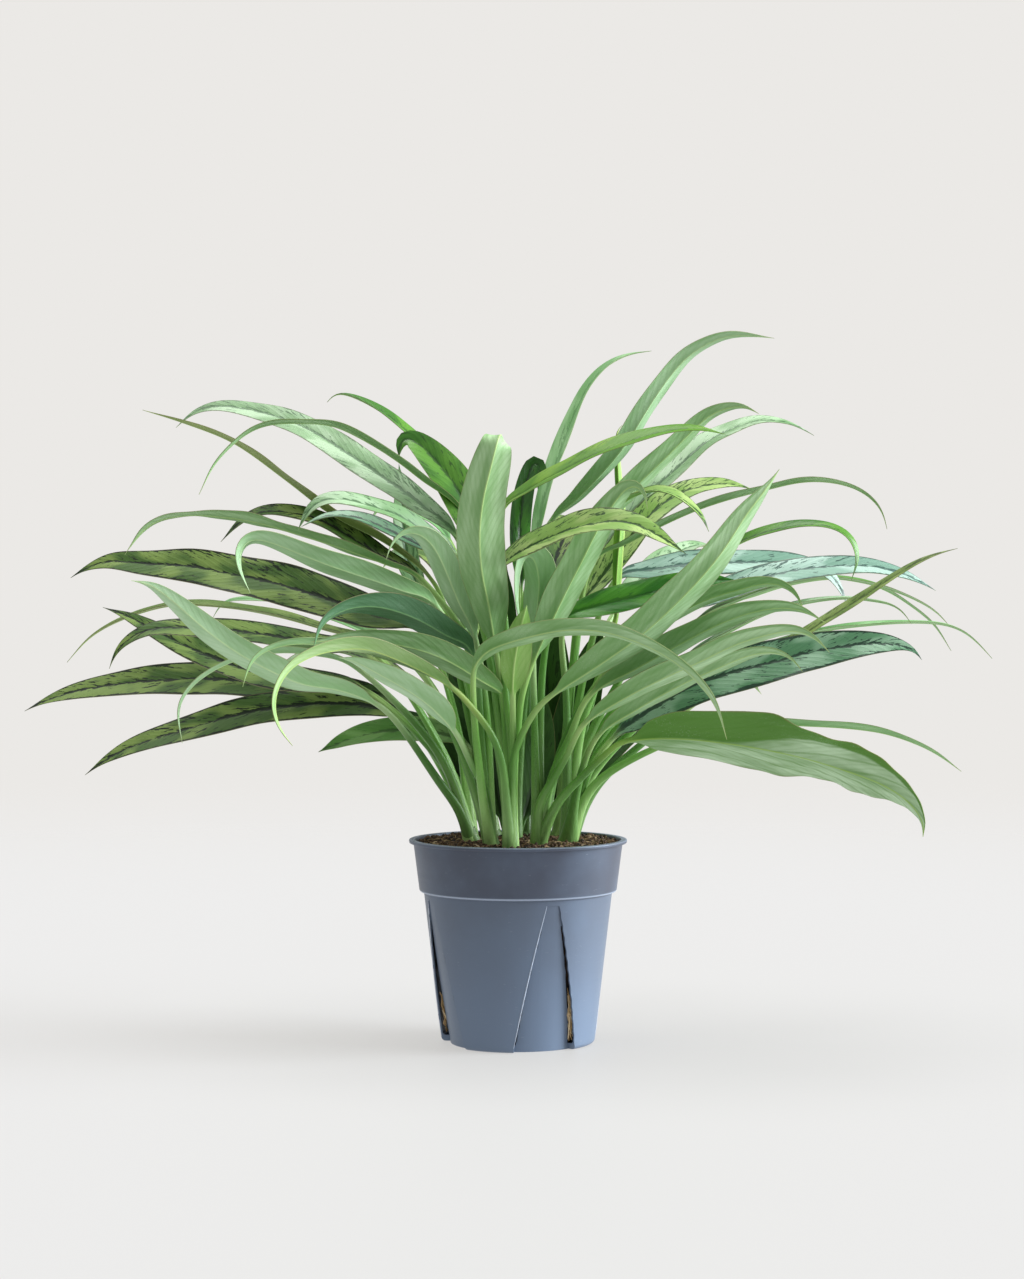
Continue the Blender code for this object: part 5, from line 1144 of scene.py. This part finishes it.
def boolean(made, other, operation):
    """Joins, cuts or trims an object by another."""
    step = made.modifiers.new(operation.title(), "BOOLEAN")
    step.operation = operation
    step.solver = "MANIFOLD"
    step.object = other
    applied(made)


def body_radius(z):
    """The pot body's outer radius at a height."""
    return BODY_BOTTOM_RADIUS + (BODY_TOP_RADIUS - BODY_BOTTOM_RADIUS) * z / BODY_TOP_Z


def collar_radius(z):
    """The collar's outer radius at a height."""
    share = (z - COLLAR_BOTTOM_Z) / (POT_HEIGHT - RIM_DROP - COLLAR_BOTTOM_Z)
    return COLLAR_BOTTOM_RADIUS + (COLLAR_TOP_RADIUS - COLLAR_BOTTOM_RADIUS) * share


def panel_radius(z):
    """The outer radius of a panel, which leans in from its top down, at a height."""
    share = (PANEL_TOP_Z - z) / PANEL_TOP_Z
    return body_radius(z) - PANEL_SINK - PANEL_LEAN * max(0.0, share)


def panel_angle(i):
    return FIRST_PANEL_ANGLE + i * math.tau / PANELS


def opening_half_angle(z):
    """Half the angle of the opening that a panel stands in, at a height."""
    return PANEL_BOTTOM_HALF_ANGLE - z * PANEL_SPREAD


def pot_profile():
    """The pot's section as (radius, height), from the rim down its outer side and back up inside."""
    lip_z = POT_HEIGHT - RIM_DROP
    floor_edge = FLOOR_TOP_Z + FLOOR_ROUND
    lip_edge = RIM_ROUND / 2
    bottom = arc(body_radius(BOTTOM_ROUND) - BOTTOM_ROUND, BOTTOM_ROUND, BOTTOM_ROUND, 0, -90, 2 * ARC_STEPS)
    ring_inside = bottom[-1][0] - FOOT_RING_WIDTH
    return [
        *arc(RIM_RADIUS - RIM_ROUND, POT_HEIGHT - RIM_ROUND, RIM_ROUND, 90, 0),
        *arc(RIM_RADIUS - RIM_TAPER - lip_edge, lip_z + lip_edge, lip_edge, 0, -90),
        (COLLAR_TOP_RADIUS + RIM_UNDERCUT, lip_z),
        (COLLAR_TOP_RADIUS, lip_z - RIM_UNDERCUT),
        *arc(COLLAR_BOTTOM_RADIUS - COLLAR_ROUND, COLLAR_BOTTOM_Z, COLLAR_ROUND, 0, -80),
        (BODY_TOP_RADIUS + RIM_UNDERCUT, BODY_TOP_Z + RIM_UNDERCUT),
        (BODY_TOP_RADIUS, BODY_TOP_Z),
        *bottom,
        (ring_inside, 0.0),
        (ring_inside - FOOT_HEIGHT / 2, FOOT_HEIGHT),
        (CENTRE_PAD_RADIUS + FOOT_HEIGHT / 2, FOOT_HEIGHT),
        (CENTRE_PAD_RADIUS, 0.0),
        (0.0, 0.0),
        (0.0, FLOOR_TOP_Z),
        (body_radius(floor_edge) - WALL - FLOOR_ROUND, FLOOR_TOP_Z),
        (body_radius(floor_edge) - WALL, floor_edge),
        (BODY_TOP_RADIUS - WALL, BODY_TOP_Z + RIM_TAPER),
        (COLLAR_BOTTOM_RADIUS - WALL, COLLAR_BOTTOM_Z + WALL),
        (COLLAR_TOP_RADIUS - WALL, POT_HEIGHT - RIM_ROUND),
        (COLLAR_TOP_RADIUS - WALL + RIM_ROUND / 2, POT_HEIGHT),
    ]


def wedge(angle, top_half, bottom_half, top_z, bottom_z):
    """A solid that widens downwards between two upright faces that meet at the pot's axis."""
    reach = 1.4 * BODY_TOP_RADIUS
    inner = 0.35 * BODY_BOTTOM_RADIUS
    shape = bmesh.new()
    levels = []
    for band in range(PANEL_BANDS + 1):
        share = band / PANEL_BANDS
        z = bottom_z + (top_z - bottom_z) * share
        half = bottom_half + (top_half - bottom_half) * share
        ring = []
        for radius, side in ((inner, -1), (reach, -1), (reach, 1), (inner, 1)):
            ring.append(shape.verts.new(polar(radius, angle + side * half, z)))
        levels.append(ring)
    shape.faces.new(levels[0][::-1])
    shape.faces.new(levels[-1])
    for low, high in zip(levels, levels[1:]):
        for i in range(4):
            j = (i + 1) % 4
            shape.faces.new((low[i], low[j], high[j], high[i]))
    return new_object("wedge", mesh_of("wedge", shape))


def drum(radius, sides, bottom_z, top_z):
    """An upright cylinder between two heights."""
    shape = bmesh.new()
    bmesh.ops.create_cone(shape, cap_ends=True, segments=sides, radius1=radius, radius2=radius,
                          depth=top_z - bottom_z, matrix=Matrix.Translation((0.0, 0.0, (top_z + bottom_z) / 2)))
    return new_object("drum", mesh_of("drum", shape))


def pot_piece():
    """The pot with finer rounds: its turned body, opened by wedges, with a leaning panel in each opening."""
    made = turned("pot_fine", pot_profile(), POT_STEPS)
    below = -CUT_MARGIN
    low_half = opening_half_angle(below)
    core_top = PANEL_TOP_Z + 2 * PANEL_ROOT
    core = turned("core", [(panel_radius(core_top), core_top), (panel_radius(PANEL_TOP_Z), PANEL_TOP_Z),
                           (panel_radius(below), below), (0.0, below), (0.0, core_top)], POT_STEPS)
    outside = [(panel_radius(z), z) for z in (PANEL_TOP_Z + PANEL_ROOT, PANEL_TOP_Z, FLOOR_TOP_Z - WALL)]
    shell = turned("shell", outside + [(radius - WALL, z) for radius, z in outside[::-1]], POT_STEPS)
    panel_top = PANEL_TOP_Z + 1.5 * PANEL_ROOT
    panel_top_half = opening_half_angle(panel_top) - PANEL_SLIT
    helpers = [core, shell]
    for i in range(PANELS):
        notch = wedge(panel_angle(i), PANEL_TOP_HALF_ANGLE, low_half, PANEL_TOP_Z, below)
        boolean(notch, core, "DIFFERENCE")
        boolean(made, notch, "DIFFERENCE")
        panel = wedge(panel_angle(i), panel_top_half, low_half - PANEL_SLIT, panel_top, below)
        boolean(panel, shell, "INTERSECT")
        boolean(made, panel, "UNION")
        helpers += [notch, panel]
    for i in range(DRAINS):
        drain = drum(DRAIN_RADIUS, DRAIN_SIDES, below, FLOOR_TOP_Z + CUT_MARGIN)
        drain.location = polar(DRAIN_CIRCLE * MM, i * math.tau / DRAINS, 0.0)
        bpy.context.view_layer.update()
        boolean(made, drain, "DIFFERENCE")
        helpers.append(drain)
    for helper in helpers:
        bpy.data.objects.remove(helper)
    made.data.materials.clear()
    made.data.materials.append(pot_material())
    made.data.shade_smooth()
    made.data.set_sharp_from_angle(angle=math.radians(POT_SHARP))
    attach(made, "root")
    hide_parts("pot")


def soil_top_radius():
    return collar_radius(SOIL_TOP_Z - SOIL_EDGE_DROP) - WALL - SOIL_GAP


def soil_height(x, y):
    """The height of the soil's lumpy top."""
    share = min(1.0, math.hypot(x, y) / soil_top_radius())
    height = SOIL_TOP_Z + SOIL_RISE + SOIL_MOUND * (1 - share ** 2) - SOIL_EDGE_DROP * share ** 8
    for size, depth in SOIL_LUMPS:
        height += depth * noise.noise(Vector((x / size, y / size, size)))
    return height


def soil_piece():
    """The potting mix with a lumpy top."""
    low = FLOOR_TOP_Z + SOIL_GAP
    side_gap = WALL + SOIL_GAP
    panel_top = PANEL_TOP_Z + PANEL_ROOT
    top_radius = soil_top_radius()
    profile = [
        (top_radius, SOIL_TOP_Z - SOIL_EDGE_DROP - SOIL_LIP),
        (COLLAR_BOTTOM_RADIUS - side_gap, COLLAR_BOTTOM_Z + WALL + 2 * SOIL_GAP),
        (BODY_TOP_RADIUS - side_gap - SOIL_GAP, BODY_TOP_Z + SOIL_GAP),
        (panel_radius(panel_top) - side_gap, panel_top),
        (panel_radius(low) - side_gap, low),
        (0.0, low),
        (0.0, SOIL_TOP_Z),
        *[(top_radius * ring / SOIL_RINGS, SOIL_TOP_Z) for ring in range(1, SOIL_RINGS + 1)],
    ]
    made = turned("soil_fine", profile, SOIL_STEPS)
    for vertex in made.data.vertices:
        if vertex.co.z > (SOIL_TOP_Z - SOIL_LIP) * MM:
            vertex.co.z = soil_height(vertex.co.x / MM, vertex.co.y / MM) * MM
    made.data.materials.clear()
    made.data.materials.append(soil_material())
    made.data.shade_smooth()
    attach(made, "root")
    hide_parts("soil")


def open_soil(chance):
    """A random place on the soil that is clear of the canes."""
    while True:
        radius = (soil_top_radius() - SOIL_MARGIN) * math.sqrt(chance.random())
        x, y = polar(radius, chance.uniform(0, math.tau), 0.0)[:2]
        if all(math.hypot(x - shoot.x, y - shoot.y) > shoot.radius + SOIL_CANE_GAP
               for shoot in SHOOTS.values()):
            return x, y


def ball(detail):
    """The points and triangles of a rounded lump of radius 1."""
    shape = bmesh.new()
    bmesh.ops.create_icosphere(shape, subdivisions=detail, radius=1.0)
    shape.verts.ensure_lookup_table()
    verts = np.array([vertex.co for vertex in shape.verts])
    faces = np.array([[vertex.index for vertex in face.verts] for face in shape.faces])
    shape.free()
    return verts, faces


def scraps_piece(name, scraps, chance):
    """Many small angular lumps strewn on the soil."""
    coarse, fine = ball(1), ball(2)
    verts, faces, tones = [], [], []
    first = 0
    least, greatest = scraps.sizes
    for i in range(scraps.count):
        size = least * (greatest / least) ** (chance.random() ** SCRAP_POWER)
        points, triangles = fine if size > scraps.fine_above else coarse
        x, y = open_soil(chance)
        spread = [chance.uniform(*span) for span in (*SCRAP_SPREAD, scraps.flat)]
        rough = np.random.default_rng(i).uniform(*SCRAP_ROUGH, (len(points), 1))
        turn = np.array(Quaternion([chance.gauss(0, 1) for part in range(4)]).normalized().to_matrix())
        lump = (points * rough * (np.array(spread) * size / 2)) @ turn.T
        verts.append(lump + (x, y, soil_height(x, y) + SCRAP_SINK * size))
        faces.append(triangles + first)
        tones.append(np.full((len(points), 3), chance.random()))
        first += len(points)
    made = piece_of(name, np.vstack(verts), np.vstack(faces).tolist())
    give_vectors(made.data, "tone", np.vstack(tones))
    made.data.materials.append(scrap_material(scraps.material, scraps.dark, scraps.light, scraps.rough))
    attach(made, "root")


def strand(points, radius):
    """Rings round a thin strand that narrows to both ends."""
    curve = through(points, STRAND_STEPS)
    heads = np.gradient(curve, axis=0)
    heads /= np.linalg.norm(heads, axis=1)[:, None]
    upper = np.array((0.31, 0.17, 0.93))
    turns = math.pi - np.arange(STRAND_SIDES) * math.tau / STRAND_SIDES
    swell = np.sin(np.pi * np.minimum(np.linspace(0, 1, len(curve)), 0.999)) ** 0.5
    rings = []
    for place, head, thick in zip(curve, heads, radius * (STRAND_END + (1 - STRAND_END) * swell)):
        upper = upper - upper.dot(head) * head
        upper /= np.linalg.norm(upper)
        side = -np.cross(head, upper)
        rings.append(place + thick * (np.cos(turns)[:, None] * side + np.sin(turns)[:, None] * upper))
    return np.array(rings)


def strands_piece(name, courses, made_of):
    """One piece of many thin strands, given as (points, radius, tone)."""
    verts, faces, tones = [], [], []
    first = 0
    for points, radius, tone in courses:
        rings = strand(points, radius)
        faces += skin_faces(len(rings), rings.shape[1], first)
        verts.append(rings.reshape(-1, 3))
        tones.append(np.full((len(verts[-1]), 3), tone))
        first += len(verts[-1])
    made = piece_of(name, np.vstack(verts), faces, STRAND_SHARP)
    give_vectors(made.data, "tone", np.vstack(tones))
    made.data.materials.append(made_of)
    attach(made, "root")


def fibre_courses(chance):
    """Fibres that lie on the soil in loose bends."""
    for i in range(FIBRES):
        x, y = open_soil(chance)
        turn = chance.uniform(0, math.tau)
        step = chance.uniform(*FIBRE_STEP)
        points = []
        for k in range(FIBRE_POINTS):
            if math.hypot(x, y) > soil_top_radius() - FIBRE_MARGIN:
                break
            points.append((x, y, soil_height(x, y) + chance.uniform(*FIBRE_LIFT)))
            turn += chance.uniform(*FIBRE_BEND)
            x += step * math.cos(turn)
            y += step * math.sin(turn)
        if len(points) > 2:
            yield points, chance.uniform(*FIBRE_RADIUS), chance.random()


def slit_edge_courses(chance):
    """The edges of the pot's body along the first slit of each panel, light with painted highlight."""
    for i in range(PANELS):
        points = [polar(body_radius(z) - SLIT_EDGE_SINK, panel_angle(i) - opening_half_angle(z), z)
                  for z in np.linspace(BOTTOM_ROUND, PANEL_TOP_Z, PANEL_BANDS)]
        yield points, SLIT_EDGE, chance.random()


def slit_root_courses(chance):
    """Roots that show in the slits beside the panels, two in three of them in a panel's second slit."""
    for i in range(SLIT_ROOTS):
        side = 1 if (i // PANELS) % 3 else -1
        low = chance.uniform(*ROOT_LOW)
        points = []
        for k in range(ROOT_POINTS):
            z = low + k * chance.uniform(*ROOT_STEP)
            aside = opening_half_angle(z) + math.radians(chance.uniform(*ROOT_ASIDE))
            lean = PANEL_LEAN * (PANEL_TOP_Z - z) / PANEL_TOP_Z
            radius = panel_radius(z) - WALL + lean * chance.uniform(*ROOT_INWARD)
            points.append(polar(radius, panel_angle(i % PANELS) + side * aside, z))
        yield points, chance.uniform(*ROOT_RADIUS), chance.random()


def stage():
    """A pale floor that fades away from the plant, a soft fill all round and three wide lights."""
    shape = bmesh.new()
    bmesh.ops.create_circle(shape, cap_ends=True, segments=FLOOR_SIDES, radius=FLOOR_RADIUS)
    floor = new_object("floor", mesh_of("floor", shape))
    floor.location.z = -FLOOR_DROP * MM
    nodes = Nodes("floor")
    x, y = nodes.parts(nodes.place())[:2]
    reach = nodes.math("SQRT", nodes.math("MULTIPLY_ADD", x, x, nodes.math("MULTIPLY", y, y)))
    fade = nodes.smooth(reach, *[radius * MM for radius in FLOOR_CLEAR], 1.0, 0.0)
    nodes.put(nodes.shader.inputs["Alpha"], fade)
    nodes.shader.inputs["Emission Color"].default_value = linear(WALL_COLOUR)
    nodes.shader.inputs["Emission Strength"].default_value = FLOOR_GLOW
    floor.data.materials.append(nodes.done(linear(FLOOR_COLOUR), FLOOR_ROUGH))

    world = bpy.data.worlds.new("studio")
    world.use_nodes = True
    bpy.context.scene.world = world
    tree = world.node_tree
    backdrop = tree.nodes["Background"]
    backdrop.inputs["Color"].default_value = linear(WALL_COLOUR)
    fill = tree.nodes.new("ShaderNodeBackground")
    fill.inputs["Strength"].default_value = FILL_STRENGTH
    ray = tree.nodes.new("ShaderNodeLightPath")
    both = tree.nodes.new("ShaderNodeMixShader")
    tree.links.new(ray.outputs["Is Camera Ray"], both.inputs[0])
    tree.links.new(fill.outputs[0], both.inputs[1])
    tree.links.new(backdrop.outputs[0], both.inputs[2])
    tree.links.new(both.outputs[0], tree.nodes["World Output"].inputs["Surface"])

    for name, light in LIGHTS.items():
        made = bpy.data.lights.new(name, "SUN")
        made.angle = math.radians(light.spread)
        made.energy = light.strength
        made.color = light.colour
        holder = new_object(name, made)
        holder.rotation_euler = Vector(light.way).to_track_quat("Z", "Y").to_euler()
    bpy.context.scene.view_settings.view_transform = "Standard"


def camera():
    """The photograph's camera: level, a little above the leaves' middle."""
    data = bpy.data.cameras.new("camera")
    data.sensor_fit = "VERTICAL"
    data.sensor_height = FILM_HEIGHT
    data.lens = LENS
    data.shift_y = CAMERA_SHIFT
    data.clip_end = CLIP_END
    made = new_object("camera", data)
    made.location = EYE * MM
    made.rotation_euler = (math.radians(90), 0.0, 0.0)
    bpy.context.scene.camera = made


def main():
    camera()
    stage()
    materials = {name: leaf_material(name, look) for name, look in LOOKS.items()}
    materials["cane"] = cane_material()
    for name, shoot in SHOOTS.items():
        shoot_piece(name, shoot, materials)
    pot_piece()
    soil_piece()
    chance = random.Random(DRAWS)
    for name, scraps in SCRAPS.items():
        scraps_piece(name, scraps, chance)
    strands_piece("soil_fibres", fibre_courses(chance), scrap_material("fibre", FIBRE_DARK, FIBRE_LIGHT, 0.9))
    # The slit edges' light colours are painted highlight
    strands_piece("slit_edges", slit_edge_courses(chance),
                  scrap_material("slit_edge", POT_EDGE, SLIT_EDGE_HIGHLIGHT, 0.4))
    strands_piece("slit_roots", slit_root_courses(chance), scrap_material("root", ROOT_DARK, ROOT_LIGHT, 0.8))


main()
